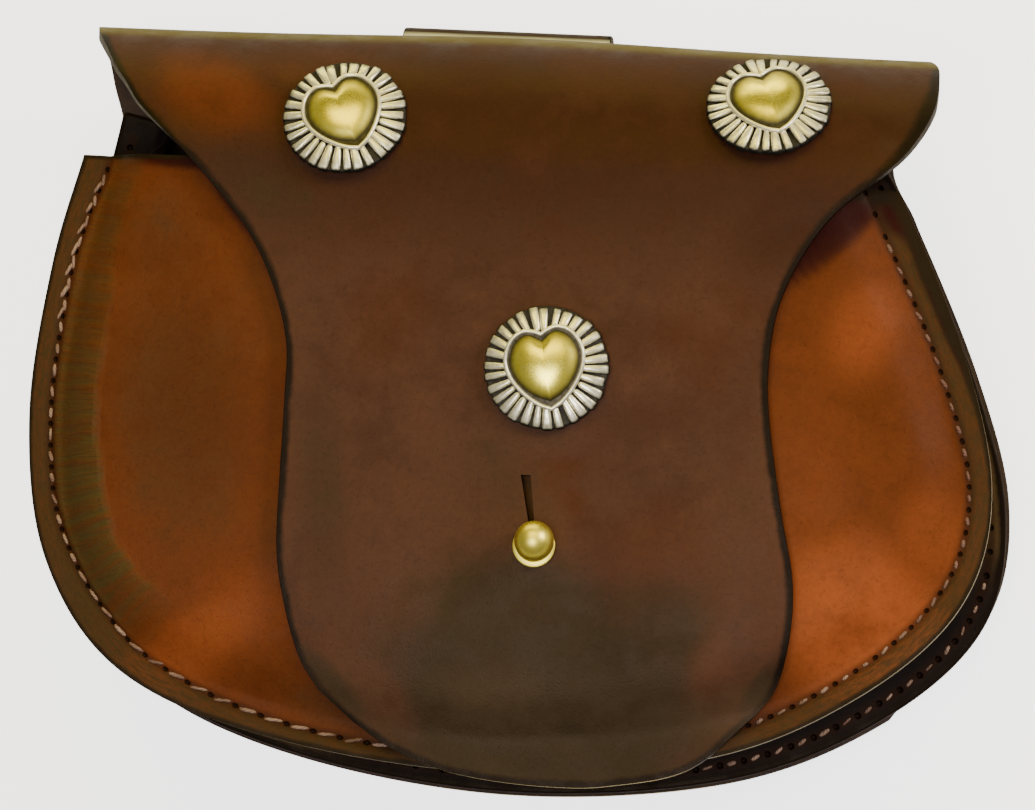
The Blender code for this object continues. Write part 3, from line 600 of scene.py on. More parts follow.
def channel_section():
    """The channel cut across: how far inside the sewn edge, share of the back's margin, share of the depth."""
    web = SETBACK + FLANGE
    bend = BEND / (gusset_high - BACK_LEVEL - gusset_low)
    flat = np.linspace(0, 1, 8)[:-1]
    lower = [(SETBACK + (web - BEND - SETBACK) * t, 1 - t, 0.0) for t in flat]
    for angle in np.radians(np.linspace(0, 90, 7)):
        lower.append((web - BEND * (1 - math.sin(angle)), 0.0, bend * (1 - math.cos(angle))))
    up = np.linspace(0, 1, 15)[1:-1]
    wall = [(web + BOW * math.sin(math.pi * t), 0.0, bend + (1 - 2 * bend) * t) for t in up]
    upper = [(inset, 0.0, 1 - share) for inset, _, share in lower[::-1]]
    return np.array(lower + wall + upper)


section = channel_section()


def gusset_place(u, v):
    inset, reach, share = section[np.rint(v * (len(section) - 1)).astype(int)].T
    start = share * mouth_left
    end = sewn_far[-1] + share * (mouth_right - sewn_far[-1])
    far = start + (end - start) * u
    line = np.column_stack([sewn, inward, margin])
    x, y, nx, ny, reach_out = (np.interp(far, sewn_far, line[:, i]) for i in range(5))
    folds = np.sin(far / (1.9 * MM)) * np.sin(far / (7.3 * MM)) + 0.6 * np.sin(far / (3.1 * MM) + 2)
    inset = inset - reach * reach_out + GATHER * folds * np.sin(math.pi * share) ** 2
    x, y = x + nx * inset, y + ny * inset
    turn = np.arcsin(np.clip(y / FOLD_REACH, 0, 1))
    low = np.where(y > 0, fold_place(turn)[1], BACK_LEVEL) + gusset_low
    return x, y, low + share * (gusset_high - low)


def flange_seam_map(points):
    """Both seams of the channel: the front's on the upper flange, the back's on the lower one."""
    upper = front_seam_map(points)
    lower = back_seam_map(points[:, :3] - [0, 0, gusset_low])
    return np.where((points[:, 2] > gusset_high - MM)[:, None], upper, lower)


gusset, gusset_points, gusset_edge = lay_grid(
    "gusset_leather_strip", GUSSET_STEPS, len(section) - 1, gusset_place, flange_seam_map
)
thicken(gusset, LEATHER["gusset"], 0.5 * MM)
paint(gusset, "edge", gusset_points, gusset_edge)

# %% [markdown]
# ## The belt loop
# A strap is sewn high on the back, turns over at the top, runs down behind the bag and is sewn on again
# below. Seen from the side it is one line, so the line is drawn once and swept across the strap's width. Where
# it turns over at the top, a pale band is painted on it: a painted highlight.

# %% Lay out the belt loop
LOOP_WIDTH = 44 * MM
LOOP_FLAT = 86 * MM
BELT_ROOM = 5.0 * MM
INNER_LEG = 53 * MM
TAB_SLOPE, TAB_END = 14 * MM, 30 * MM
loop_inner = 2 * LEATHER["loop"] + BELT_ROOM - LEATHER["loop"] / 2
loop_outer = LEATHER["loop"] / 2
loop_top = LOOP_FLAT / 2
loop_radius = (loop_inner - loop_outer) / 2
loop_seams = (-loop_top - 18 * MM, -loop_top - 26 * MM, loop_top - 49 * MM)
strap = [(loop_top - INNER_LEG, loop_inner), (loop_top, loop_inner)]
for angle in np.linspace(0, math.pi, 17)[1:]:
    strap.append((loop_top + loop_radius * math.sin(angle), loop_outer + loop_radius * (1 + math.cos(angle))))
for share in np.linspace(0, 1, 13):
    strap.append((-loop_top - share * TAB_SLOPE, loop_outer + soft_step(share) * (loop_inner - loop_outer)))
strap.append((-loop_top - TAB_END, loop_inner))
strap = even_line(np.array(strap), 1.1 * MM)


def strap_place(u, v):
    y, z = strap[np.rint(v * (len(strap) - 1)).astype(int)].T
    return (crowd(u, 0.6) - 0.5) * LOOP_WIDTH - BAG_PLACE[0], y - BAG_PLACE[1], z


def strap_seam_map(points):
    """Short seams across the strap: two below, where the tab is sewn on, and one on the inner leg."""
    y = points[:, 1] + BAG_PLACE[1]
    seam = np.column_stack([points[:, 0] + BAG_PLACE[0], np.full(len(y), OFF_SEAM * PITCH)])
    on_back = points[:, 2] > loop_inner - 0.5 * MM
    for level in loop_seams:
        near = on_back & (np.abs(y - level) < 4 * MM)
        seam[near, 1] = y[near] - level
    return seam / PITCH


loop, loop_points, loop_edge = lay_grid("belt_loop_leather", 40, len(strap) - 1, strap_place, strap_seam_map)
thicken(loop, LEATHER["loop"], 0.6 * MM)
paint(loop, "edge", loop_points, loop_edge)
# painted highlight: a pale band over the top of the loop's bend
round_top = (loop_points[:, 1] + BAG_PLACE[1] - loop_top) / loop_radius
painted_highlight = soft_step((0.73 - round_top) / 0.06) * soft_step((round_top - 0.2) / 0.2)
painted_highlight = painted_highlight * (loop_points[:, 2] > loop_radius + loop_outer)
paint(loop, "worn", loop_points, painted_highlight)

# %% [markdown]
# ## Building materials in code
# A material is a small network of nodes. Two little classes keep its code readable. A Net adds nodes to one
# network. What it hands back is a Wire, an output of a node, and wires can be added and multiplied like
# numbers: each sign adds a Math node. A group is a network with named inputs and outputs that several
# materials share, each with its own values.

# %% The node helpers
class Wire:
    """An output of a node. Reckoning with it adds Math nodes."""

    def __init__(self, net, socket):
        self.net, self.socket = net, socket

    def __add__(self, other):
        return self.net.maths("ADD", self, other)

    def __sub__(self, other):
        return self.net.maths("SUBTRACT", self, other)

    def __rsub__(self, other):
        return self.net.maths("SUBTRACT", other, self)

    def __mul__(self, other):
        return self.net.maths("MULTIPLY", self, other)

    def __truediv__(self, other):
        return self.net.maths("DIVIDE", self, other)

    def __rtruediv__(self, other):
        return self.net.maths("DIVIDE", other, self)

    def step(self, low, high, start=0.0, end=1.0):
        """A soft step: start below low, end above high."""
        inputs = {"Value": self, "From Min": low, "From Max": high, "To Min": start, "To Max": end}
        return self.net.wire("MapRange", inputs, interpolation_type="SMOOTHSTEP")


class Net:
    """A network that nodes are added to."""

    def __init__(self, tree):
        self.tree = tree

    def fill(self, node, inputs):
        """Fills a node's inputs with wires or plain values."""
        for name, value in inputs.items():
            if isinstance(value, Wire):
                self.tree.links.new(value.socket, node.inputs[name])
            elif node.inputs[name].type == "RGBA":
                node.inputs[name].default_value = (*value, 1)
            else:
                node.inputs[name].default_value = value

    def add(self, kind, inputs=None, **settings):
        node = self.tree.nodes.new(f"ShaderNode{kind}")
        for name, value in settings.items():
            setattr(node, name, value)
        self.fill(node, inputs or {})
        return node

    def wire(self, kind, inputs=None, output=0, **settings):
        return Wire(self, self.add(kind, inputs, **settings).outputs[output])

    def maths(self, operation, first, second=0.0):
        return self.wire("Math", {0: first, 1: second}, operation=operation)

    def group(self, name, inputs):
        node = self.add("Group", inputs, node_tree=bpy.data.node_groups[name])
        return {socket.name: Wire(self, socket) for socket in node.outputs}

    def split(self, vector):
        return [Wire(self, socket) for socket in self.add("SeparateXYZ", {0: vector}).outputs]

    def attribute(self, name):
        return self.wire("Attribute", output="Fac", attribute_name=name)

    def stretched(self, place, scale):
        return self.wire("Mapping", {"Vector": place, "Scale": scale})

    def noise(self, place, scale, detail=4.0, rough=0.55, warp=0.0):
        inputs = {"Vector": place, "Scale": scale, "Detail": detail, "Roughness": rough, "Distortion": warp}
        return self.wire("TexNoise", inputs, "Fac")

    def mix(self, factor, first, second, blend="MIX"):
        return self.wire("Mix", {0: factor, 6: first, 7: second}, 2, data_type="RGBA", blend_type=blend)

    def shaded(self, colour, shade):
        """The colour made darker or lighter."""
        tint = self.wire("CombineColor", {"Red": shade, "Green": shade, "Blue": shade})
        return self.mix(1.0, colour, tint, "MULTIPLY")

    def bump(self, height):
        return self.wire("Bump", {"Height": height, "Distance": 1.0})


def new_group(name, inputs, outputs):
    """An empty group: its network, the wires that come in, and the node that takes what goes out."""
    tree = bpy.data.node_groups.new(name, "ShaderNodeTree")
    for way, sockets in (("INPUT", inputs), ("OUTPUT", outputs)):
        for label, kind in sockets.items():
            tree.interface.new_socket(label, in_out=way, socket_type=f"NodeSocket{kind}")
    net = Net(tree)
    given = {socket.name: Wire(net, socket) for socket in tree.nodes.new("NodeGroupInput").outputs if socket.name}
    return net, given, tree.nodes.new("NodeGroupOutput")


finishes = {}


def new_material(name):
    material = bpy.data.materials.new(name)
    material.use_nodes = True
    finishes[name] = material
    return Net(material.node_tree), material.node_tree.nodes["Principled BSDF"]


print("helpers ready")

# %% [markdown]
# ## The grain of the hide
# Vegetable-tanned leather is nearly smooth. Seen close, it has a fine pebble of raised cells, tiny pores and
# long soft waves where the hide was stretched. Cells come from a Voronoi texture, whose distance to the
# middle of a cell is a ready-made pebble; noise does the rest. The group puts out one height in metres, for
# a Bump node, and a tone that makes the low places a little darker.

# %% The grain group
net, given, gives = new_group(
    "hide_grain",
    {"Place": "Vector", "Cell size": "Float", "Pebble": "Float", "Waves": "Float"},
    {"Height": "Float", "Tone": "Float"},
)
place = given["Place"]
shift = net.wire("TexNoise", {"Vector": place, "Scale": 900.0, "Detail": 2.0}, "Color")
shift = net.wire("VectorMath", {0: shift, "Scale": 0.0006}, operation="SCALE")
warped = net.wire("VectorMath", {0: place, 1: shift}, operation="ADD")
cell = net.wire("TexVoronoi", {"Vector": warped, "Scale": 1.0 / given["Cell size"]}, "Distance")
cell = cell * cell
fine = net.noise(place, 2600.0, 2.0, 0.7)
pores = net.noise(place, 1150.0, 1.0).step(0.26, 0.38)
pebble = (0.6 - cell) * given["Pebble"]
rough = (fine + pores) * (given["Pebble"] * 0.35)
waves = net.noise(place, 60.0, 1.0, 0.4) * given["Waves"]
net.fill(gives, {"Height": pebble + rough + waves, "Tone": (pores * 1.1 - cell).step(-0.1, 0.9)})
print("hide_grain:", len(net.tree.nodes), "nodes")

# %% [markdown]
# ## Dye that never takes evenly
# The dye was rubbed on by hand. It clouds, it stains dark where the leather drank more, and it leaves warm
# red patches where it drank less. Clouds are noise at two sizes. The stains are placed: each vertex knows how
# much of a stain lies on it, and noise frays their borders. On the front and the gusset some of these placed
# values are painted shadow, shade and light instead of dye.

# %% The dye group
net, given, gives = new_group(
    "dye_and_painted_light",
    {"Place": "Vector", "Mid": "Color", "Rich": "Color", "Deep": "Color", "Warm": "Color",
     "Rich stain": "Float", "Deep stain": "Float", "Warm stain": "Float", "Cloud": "Float"},
    {"Color": "Color", "Dryness": "Float"},
)
place, cloudy = given["Place"], given["Cloud"]
big = net.noise(place, 26.0, 4.0, 0.6, 0.3)
small = net.noise(place, 120.0, 4.0, 0.65)
speck = net.noise(place, 900.0, 2.0, 0.6)
fray = ((big - 0.5) * 0.9 + (small - 0.5) * 0.55) * cloudy
# on the front the rich value is the flap's painted shadow and part of the deep one painted shade; on the gusset the
# warm one is partly painted light
colour = net.mix((given["Rich stain"] + fray).step(0.05, 0.95), given["Mid"], given["Rich"])
colour = net.mix((given["Warm stain"] - fray).step(0.05, 0.95), colour, given["Warm"])
colour = net.mix((given["Deep stain"] + fray).step(0.05, 0.95), colour, given["Deep"])
cloud = (big * 0.55 + small * 0.45).step(0.34, 0.66)
shade = ((cloud - 0.5) * (cloudy * 0.42) + 1.0) * speck.step(0.2, 0.8, 0.93, 1.07)
net.fill(gives, {"Color": net.shaded(colour, shade), "Dryness": small.step(0.3, 0.7)})
print("dye_and_painted_light:", len(net.tree.nodes), "nodes")

# %% [markdown]
# ## Rubbed edges and needle holes
# Edges are rubbed with a bone until they shine, and they darken as they are handled. That needs only the
# distance to the rim, which every vertex carries. The holes need the seam's UV map: there is one between
# each two stitches, so the fraction of U tells how far the nearest hole is. Along the thread the leather is
# pulled down and keeps some dirt.

# %% The edge and hole groups
net, given, gives = new_group("rubbed_edge", {"Place": "Vector", "Width": "Float"}, {"Rubbed": "Float"})
ragged = (net.noise(given["Place"], 200.0, 3.0) - 0.5) * 0.7
far = net.attribute("edge") / given["Width"]
net.fill(gives, {"Rubbed": (far + ragged).step(0.35, 1.0, 1.0, 0.0)})

net, given, gives = new_group("needle_holes", {"Seam": "Vector"}, {"Hole": "Float", "Line": "Float"})
counted, across, _ = net.split(given["Seam"])
near_hole = net.maths("FRACT", counted) - 0.5
gap = net.wire("CombineXYZ", {0: near_hole, 1: across})
gap = net.wire("VectorMath", {0: gap}, "Value", operation="LENGTH")
line = net.maths("ABSOLUTE", across).step(0.06, 0.36, 1.0, 0.0)
net.fill(gives, {"Hole": gap.step(0.05, 0.16, 1.0, 0.0), "Line": line})
print("rubbed_edge and needle_holes ready")

# %% [markdown]
# ## The leathers
# One function makes them all: dye, then rubbed edges, then holes, each laid over the one before, and one
# bump from all their heights. The holes are painted near-black, a painted shade. The front also has a rim of
# another colour beyond its seam, a crinkled band where it was pressed, and the flap's painted shadow laid on
# once more. The hide is painted lighter where the flap bends down over the front's swell, against the shade
# of that slope, and the crest of its fold gets a painted golden sheen, which only a glancing look catches:
# Layer Weight knows how glancing. The belt loop's pale band is a painted highlight.

# %% The leather materials
def leather(name, tones, cloud=1.0, shine=0.46, rub_width=2.2, specular=0.13,
            rim_tone=None, band_tone=None, painted_light_tone=None, painted_sheen_tone=None):
    """tones: mid, rich, deep, warm and rubbed."""
    net, shader = new_material(name)
    mid, rich, deep, warm, rub = tones
    place = net.wire("TexCoord", output="Object")
    seam_place = net.wire("UVMap")
    grain = net.group("hide_grain", {
        "Place": place, "Cell size": 0.5 * MM, "Pebble": 0.022 * MM, "Waves": 0.25 * MM,
    })
    stains = {f"{stain} stain": net.attribute(stain.lower()) for stain in ("Rich", "Deep", "Warm")}
    dye = net.group("dye_and_painted_light", {
        "Place": place, "Mid": mid, "Rich": rich, "Deep": deep, "Warm": warm, "Cloud": cloud, **stains,
    })
    colour, height = dye["Color"], grain["Height"]
    if rim_tone:
        streaks = net.noise(net.stretched(seam_place, (1.0, 6.0, 1.0)), 1.6, 4.0, 0.7)
        colour = net.mix(net.attribute("rim") * streaks.step(0.25, 0.75, 0.45, 1.0), colour, rim_tone)
        # the flap's painted shadow, the front's rich value, laid on once more
        colour = net.mix(net.attribute("rich").step(0.2, 0.8), colour, rich)
        crinkle = net.noise(net.stretched(seam_place, (2.3, 0.35, 1.0)), 1.0, 3.0, 0.6)
        band = net.attribute("pressed")
        colour = net.mix(band * crinkle.step(0.35, 0.65, 0.95, 0.35), colour, band_tone)
        height = height + band * (crinkle * (0.9 * MM))
    rubbed = net.group("rubbed_edge", {"Place": place, "Width": rub_width * MM})["Rubbed"]
    colour = net.mix(rubbed, colour, rub)
    colour = net.shaded(colour, grain["Tone"].step(0.0, 1.0, 0.90, 1.05))
    # painted light: a lighter tone where the vertex value says, on the flap's low bend against the shade of its slope
    # and on the loop's top bend as a painted highlight
    if painted_light_tone:
        colour = net.mix(net.attribute("worn") * dye["Dryness"].step(0.0, 1.0, 0.8, 1.0), colour, painted_light_tone)
    # painted sheen: a golden tone on the fold's crest, only at a glancing look
    if painted_sheen_tone:
        glancing = net.wire("LayerWeight", {"Blend": 0.5}, "Facing").step(0.64, 0.80)
        colour = net.mix(net.attribute("fold") * glancing, colour, painted_sheen_tone)
    seam = net.group("needle_holes", {"Seam": seam_place})
    colour = net.mix(seam["Line"] * 0.65, colour, (0.02, 0.007, 0.0035))
    # painted shade: the needle holes are painted near-black
    colour = net.mix(seam["Hole"] * 0.95, colour, (0.005, 0.002, 0.0015))
    net.fill(shader, {
        "Base Color": colour,
        "Roughness": dye["Dryness"].step(0.0, 1.0, shine - 0.05, shine + 0.09) - rubbed * 0.04,
        "Normal": net.bump(height - seam["Hole"] * (0.6 * MM)),
        "Specular IOR Level": specular,
        "Specular Tint": (1.0, 0.76, 0.52),
    })


# the flap: its lighter tone for the low bend is painted light, and its golden tone for the fold's crest is a painted
# sheen
leather(
    "flap_grain",
    ((0.063, 0.025, 0.014), (0.036, 0.011, 0.0047), (0.027, 0.017, 0.0087), (0.1, 0.023, 0.0073),
     (0.004, 0.002, 0.0017)),
    cloud=1.6, rub_width=1.9, painted_light_tone=(0.11, 0.07, 0.04), painted_sheen_tone=(0.10, 0.077, 0.002),
)
# the front: its rich tone is the colour of the flap's painted shadow, and its deep tone also paints the shade seen
# through the slit
leather(
    "front_grain",
    ((0.11, 0.027, 0.0067), (0.022, 0.0018, 0.0021), (0.049, 0.023, 0.008), (0.27, 0.065, 0.017),
     (0.013, 0.008, 0.0033)),
    cloud=1.25, rub_width=1.2, specular=0.09, rim_tone=(0.037, 0.024, 0.008), band_tone=(0.064, 0.046, 0.0145),
)
# the gusset: its warm tone is partly painted light that lifts shaded parts, and its deep tone is, up on the left,
# painted shade
leather(
    "gusset_grain",
    ((0.03, 0.019, 0.014), (0.017, 0.0033, 0.0027), (0.0075, 0.006, 0.0062), (0.1, 0.059, 0.024),
     (0.0067, 0.004, 0.0027)),
    shine=0.45, specular=0.07,
)
# the belt loop: its pale tone is a painted highlight on its top bend
leather(
    "loop_grain",
    ((0.023, 0.01, 0.0047), (0.02, 0.008, 0.004), (0.0093, 0.006, 0.004), (0.047, 0.016, 0.0067),
     (0.0067, 0.004, 0.0027)),
    painted_light_tone=(0.75, 0.74, 0.52),
)
print(len(finishes), "leathers")

# %% [markdown]
# ## Cut edges and the flesh side
# A cut edge shows the layers of the hide as fine streaks along the rim, dark where it was rubbed and the
# colour of raw leather where it was not. The flesh side is a felt of fibres: no gloss, a soft mottle and a
# fine, deep nap.

# %% The edge and flesh materials
def cut_edge(name, dark, raw):
    net, shader = new_material(name)
    place = net.wire("TexCoord", output="Object")
    streak = net.noise(net.stretched(place, (1.0, 1.0, 9.0)), 320.0)
    colour = net.mix((net.attribute("raw") + (streak - 0.5)).step(0.3, 0.75), dark, raw)
    net.fill(shader, {
        "Base Color": net.mix(streak.step(0.3, 0.7, 0.0, 0.45), colour, [0.5 * part for part in dark]),
        "Roughness": streak.step(0.3, 0.7, 0.35, 0.6),
        "Normal": net.bump(streak * (0.12 * MM)),
        "Specular IOR Level": 0.2,
        "Specular Tint": (1.0, 0.7, 0.5),
    })


def flesh_side(name, mid, deep):
    net, shader = new_material(name)
    place = net.wire("TexCoord", output="Object")
    nap = net.noise(place, 1500.0, 5.0, 0.7)
    colour = net.mix(net.noise(place, 130.0, 5.0, 0.6).step(0.35, 0.65), deep, mid)
    net.fill(shader, {
        "Base Color": net.mix(nap.step(0.35, 0.7, 0.0, 0.5), colour, [1.5 * part for part in mid]),
        "Roughness": nap.step(0.3, 0.7, 0.8, 0.95),
        "Normal": net.bump(nap * (0.25 * MM)),
    })


cut_edge("dark_edge", (0.012, 0.0047, 0.0027), (0.70, 0.55, 0.22))
cut_edge("tan_edge", (0.03, 0.013, 0.0067), (0.42, 0.34, 0.20))
flesh_side("dark_flesh", (0.05, 0.028, 0.016), (0.023, 0.013, 0.008))
flesh_side("tan_flesh", (0.11, 0.063, 0.033), (0.06, 0.032, 0.017))
print(len(finishes), "finishes so far")

# %% [markdown]
# ## Stains, painted shadow and painted light, put where they are
# Each stain is a soft oval with a place, two radii, a turn and a strength. At every vertex the strongest one
# counts, and a strength below zero wipes away what the ovals above it in the table left. Not every oval is a
# stain: the front's maroon is the flap's painted shadow, and a few ovals on the front and the gusset are
# painted shade and painted light, as noted at their tables. The tables are in millimetres from the middle of
# the mouth, as a maker would note them down. The hide folds over, so its back has tables of its own.

# %% Paint the stains
# x, y, half length, half width, turn in degrees, strength
FLAP_DEEP = [
    (12, -107, 37, 22, 0, 1.3), (11, -90, 27, 13, 0, 0.85), (34, -94, 12, 16, 0, 0.8),
    (-24, -104, 13, 4.5, -40, -0.8), (45.4, -96.4, 8, 4.5, 59, -0.9),
    (54.5, -101.5, 9, 3.5, 55, 0.9), (-31, -105, 12, 3, -42, 0.8), (-35, -66, 6, 26, 5, 0.4),
    (78, 15, 8, 12, -30, 0.35), (-53, -5, 15, 7, -35, 0.4), (47, -40, 6, 24, 0, 0.25), (10, -60, 22, 12, 0, 0.3),
]
BACK_DEEP = [(58, -62, 34, 20, 62, 0.45), (-62, -78, 30, 13, -50, 0.5), (30, -12, 40, 14, 4, 0.3)]
FLAP_WARM = [
    (-64, 14, 16, 9, -25, 0.75), (-24, -104, 13, 4, -40, 0.15), (45.4, -96.4, 7, 4, 59, 0.2),
    (8, -62, 14, 14, 0, 0.3), (-45, 20, 18, 6, 0, 0.4), (40, -30, 14, 18, 0, 0.25), (36, -74, 14, 10, 0, 0.3),
    (-25, -32, 12, 16, 0, 0.25), (52, -58, 8, 16, 0, 0.3),
]
BACK_WARM = [(-34, -30, 30, 22, 30, 0.2), (48, -92, 26, 12, 20, 0.2)]
HIDE_RICH = [(0, 18, 120, 36, 0, 1.0), (56, -6, 22, 14, 35, 0.8), (66, 12, 14, 11, 0, 1.0), (80, 13, 15, 6, 66, 1.1)]
HIDE_RAW = [(18, -124, 44, 8, 0, 1.0)]
# darker ovals; the one at 7, -72, seen only through the slit, is painted shade under the flap
FRONT_DEEP_AND_SLIT_SHADE = [
    (-88, -62, 10, 44, 2, 0.4), (-65, -50, 19, 30, 10, 0.55), (-48, -35, 12, 20, 20, 0.25),
    (-42, -75, 8, 14, 0, 0.35), (84, -45, 7, 16, 0, 0.25), (93, -88, 7, 12, 30, 0.25),
    (-84, -92, 6, 12, 35, 0.5), (0, -116, 60, 4, 0, 0.5), (7, -72, 9, 14, 0, 1.0),
    (-72, -18, 12, 14, 10, 0.4), (-20, -112, 30, 6, -14, 0.45),
]
# painted shadow: maroon along the flap's edges where it overhangs the front, darkest at the right corner under its ear
FRONT_FLAP_SHADOW = [
    (64.2, -8.6, 18, 4.6, 50, 0.75), (80, -3, 8, 7, 0, 1.3), (85.6, -20, 28, 2.8, -65, 1.4),
    (-55, -9, 13, 4, -48, 0.8), (-60, 0, 24, 3, 0, 0.9),
]
FRONT_WARM = [
    (74, -87, 22, 17, -30, 0.95), (70, -29, 8, 12, -20, 0.5), (86, -70, 9, 12, 0, 0.5), (-60, -98, 20, 9, 35, 0.55),
    (-50, -90, 15, 11, 0, 0.35), (60, -64, 12, 20, 0, 0.35), (-72, -105, 14, 6, 40, 0.4),
]
FRONT_RAW = [(95, -80, 40, 50, 0, 1.0), (60, -118, 60, 14, 20, 1.0), (-25, -112, 36, 12, 0, 1.0)]
# darker ovals; the one up on the left is painted shade where the flap's edge overhangs the strip
GUSSET_DEEP_AND_SHADE = [(62, -104, 60, 24, 25, 1.0), (-88, 2, 18, 20, 0, 0.8), (-10, -118, 40, 12, 0, 0.9)]
GUSSET_RICH = [(-75, 8, 25, 14, 0, 1.0)]
# lighter brown: low on the left the flange's own brown, lifted against its shade; on the right only painted light,
# lifting the strip out of its shade
GUSSET_WARM_AND_PAINTED_LIGHT = [
    (-62, -102, 45, 16, 30, 1.0), (-92, -60, 14, 50, 0, 0.6), (-42, -112, 24, 16, 0, 1.1),
    (103, -52, 14, 30, 0, 1.0),
]
# how high up the hide is still back, and from where it is flap
BACK_TO, FLAP_FROM = 26, 34


def stain(piece, name, table, behind=None):
    """Stores at each vertex how strongly a table's ovals lie on it: stains, and on some tables painted shade and light.
    A second table is for a hide's back.
    """
    spots = np.array([vert.co for vert in piece.data.vertices]) / MM - BAG_PLACE / MM
    strongest = np.zeros(len(spots))
    over = 1.0 if behind is None else soft_step((spots[:, 2] - BACK_TO) / (FLAP_FROM - BACK_TO))
    for rows, share in ((table, over), (behind or [], 1 - over)):
        for x, y, long, wide, turn, strength in rows:
            c, s = math.cos(math.radians(turn)), math.sin(math.radians(turn))
            dx, dy = spots[:, 0] - x, spots[:, 1] - y
            off = ((dx * c + dy * s) / long) ** 2 + ((dy * c - dx * s) / wide) ** 2
            here = abs(strength) * share * np.exp(-(off**1.5))
            strongest = np.maximum(strongest, here) if strength > 0 else strongest * (1 - here)
    layer = piece.data.attributes.new(name, "FLOAT", "POINT")
    layer.data.foreach_set("value", strongest)
    print(piece.name, name, "covers", round(100 * float((strongest > 0.3).mean())), "% of it")


for piece, tables in (
    (hide, {"deep": (FLAP_DEEP, BACK_DEEP), "warm": (FLAP_WARM, BACK_WARM), "rich": (HIDE_RICH,), "raw": (HIDE_RAW,)}),
    (front, {"deep": (FRONT_DEEP_AND_SLIT_SHADE,), "warm": (FRONT_WARM,), "rich": (FRONT_FLAP_SHADOW,), "raw": (FRONT_RAW,)}),
    (gusset, {"deep": (GUSSET_DEEP_AND_SHADE,), "warm": (GUSSET_WARM_AND_PAINTED_LIGHT,), "rich": (GUSSET_RICH,)}),
):
    for name, rows in tables.items():
        stain(piece, name, *rows)
for piece, slots in (
    (hide, ("flap_grain", "dark_edge", "dark_flesh")),
    (front, ("front_grain", "tan_edge", "tan_flesh")),
    (gusset, ("gusset_grain", "dark_edge", "dark_flesh")),
    (loop, ("loop_grain", "dark_edge", "dark_flesh")),
):
    for i, slot in enumerate(slots):
        piece.data.materials[i] = finishes[slot]

# %% [markdown]
# ## Metal and thread
# The conchos were silvered, then darkened, then rubbed bright again: the tarnish stays low down and in the
# gaps. Each vertex of the casting knows its height, so the tarnish is a soft step on that height with a
# ragged border. The thread is waxed linen of two twisted plies, which a striped bump shows. It took on the
# leather's dye where a stain lies on it.

# %% The metal and thread materials
def metal(name, bright, dull, tarnish, low, high, roughness, rough_cast, polish=1.0, speckle=0.14):
    """Tarnished below the height low, clean above high, both as shares of the casting's height."""
    net, shader = new_material(name)
    place = net.wire("TexCoord", output="Object")
    blotch = net.noise(place, 900.0, 4.0, 0.6)
    fine = net.noise(place, 4200.0, 3.0, 0.6)
    clean = (net.attribute("relief") + (blotch - 0.5) * speckle).step(low, high)
    gloss = fine.step(0.3, 0.7, roughness - 0.02, roughness + 0.04) + clean.step(0.0, 1.0, 0.3, 0.0)
    net.fill(shader, {
        "Base Color": net.mix(clean, tarnish, net.mix(blotch.step(0.35, 0.65), dull, bright)),
        "Metallic": clean.step(0.0, 1.0, 0.55, polish),
        "Roughness": gloss,
        "Normal": net.bump(net.noise(place, 700.0, 1.0) * (rough_cast * MM)),
    })


metal("silver", (0.97, 0.93, 0.72), (0.88, 0.82, 0.54), (0.013, 0.011, 0.007), 0.25, 0.42, 0.30, 0.05, 0.72, 0.16)
metal("tarnish", (0.08, 0.07, 0.055), (0.04, 0.036, 0.028), (0.016, 0.014, 0.011), 0.1, 0.4, 0.45, 0.05)
metal("gold_wash", (0.98, 0.86, 0.12), (0.95, 0.79, 0.07), (0.04, 0.033, 0.006), 0.60, 1.0, 0.25, 0.0, 1.0, 0.05)
# the stud stores no height, which reads as 0, so a step below that leaves no tarnish on it
metal("brass", (0.98, 0.84, 0.14), (0.95, 0.78, 0.10), (0, 0, 0), -1.0, -0.9, 0.40, 0.0)

net, shader = new_material("thread")
place = net.wire("TexCoord", output="Object")
fibre = net.noise(place, 3800.0, 3.0)
round_it, along_it, _ = net.split(net.wire("UVMap"))
ply = (round_it * 2.0 + along_it * 5.0) * math.pi
ply = net.maths("ABSOLUTE", net.maths("SINE", ply))
colour = net.mix(net.noise(place, 160.0).step(0.35, 0.65), (0.15, 0.077, 0.047), (0.35, 0.22, 0.15))
# painted shade: the thread is darker in the grooves between its plies
colour = net.mix(ply.step(0.0, 0.5, 0.6, 0.0), colour, (0.11, 0.053, 0.033))
net.fill(shader, {
    "Base Color": net.mix(net.attribute("deep") * 0.75, colour, (0.11, 0.033, 0.019)),
    "Roughness": fibre.step(0.3, 0.7, 0.5, 0.75),
    "Normal": net.bump(ply * (0.10 * MM) + fibre * (0.04 * MM)),
})
print(len(finishes), "finishes")


# %% [markdown]
# ## Where metal sits on leather
# Each casting is modelled flat, at the origin, facing up. A frame then carries it to its place: its Z axis
# stands square on the leather there and its Y axis points up the bag. Moving the mesh and not the object
# keeps the object at the origin, as the plain model's pieces are.

# %% The frames on the flap
def flap_frame(seat):
    _, run, lean = seat
    x, y = flap_spot(seat)
    if run > 2:
        levels = flap_level(np.array([x, x, x, x - MM, x + MM]), np.array([y, y - MM, y + MM, y, y]))
        z = levels[0]
        up = Vector((0, 2 * MM, levels[2] - levels[1])).normalized()
        side = Vector((2 * MM, 0, levels[4] - levels[3])).normalized()
    else:
        turn = (run - 1) * math.pi
        z = float(fold_place(turn)[1])
        ahead = np.array(fold_place(turn - 0.01)) - np.array(fold_place(turn + 0.01))
        up = Vector((0, *ahead)).normalized()
        side = Vector((1, 0, 0))
    out = side.cross(up).normalized()
    side = up.cross(out)
    placed = Matrix((side, up, out)).transposed().to_4x4()
    placed.translation = Vector((x, y, z)) + out * (LEATHER["back"] / 2 + SEAM_GAP) + Vector(BAG_PLACE)
    return placed @ Matrix.Rotation(math.radians(lean), 4, "Z")


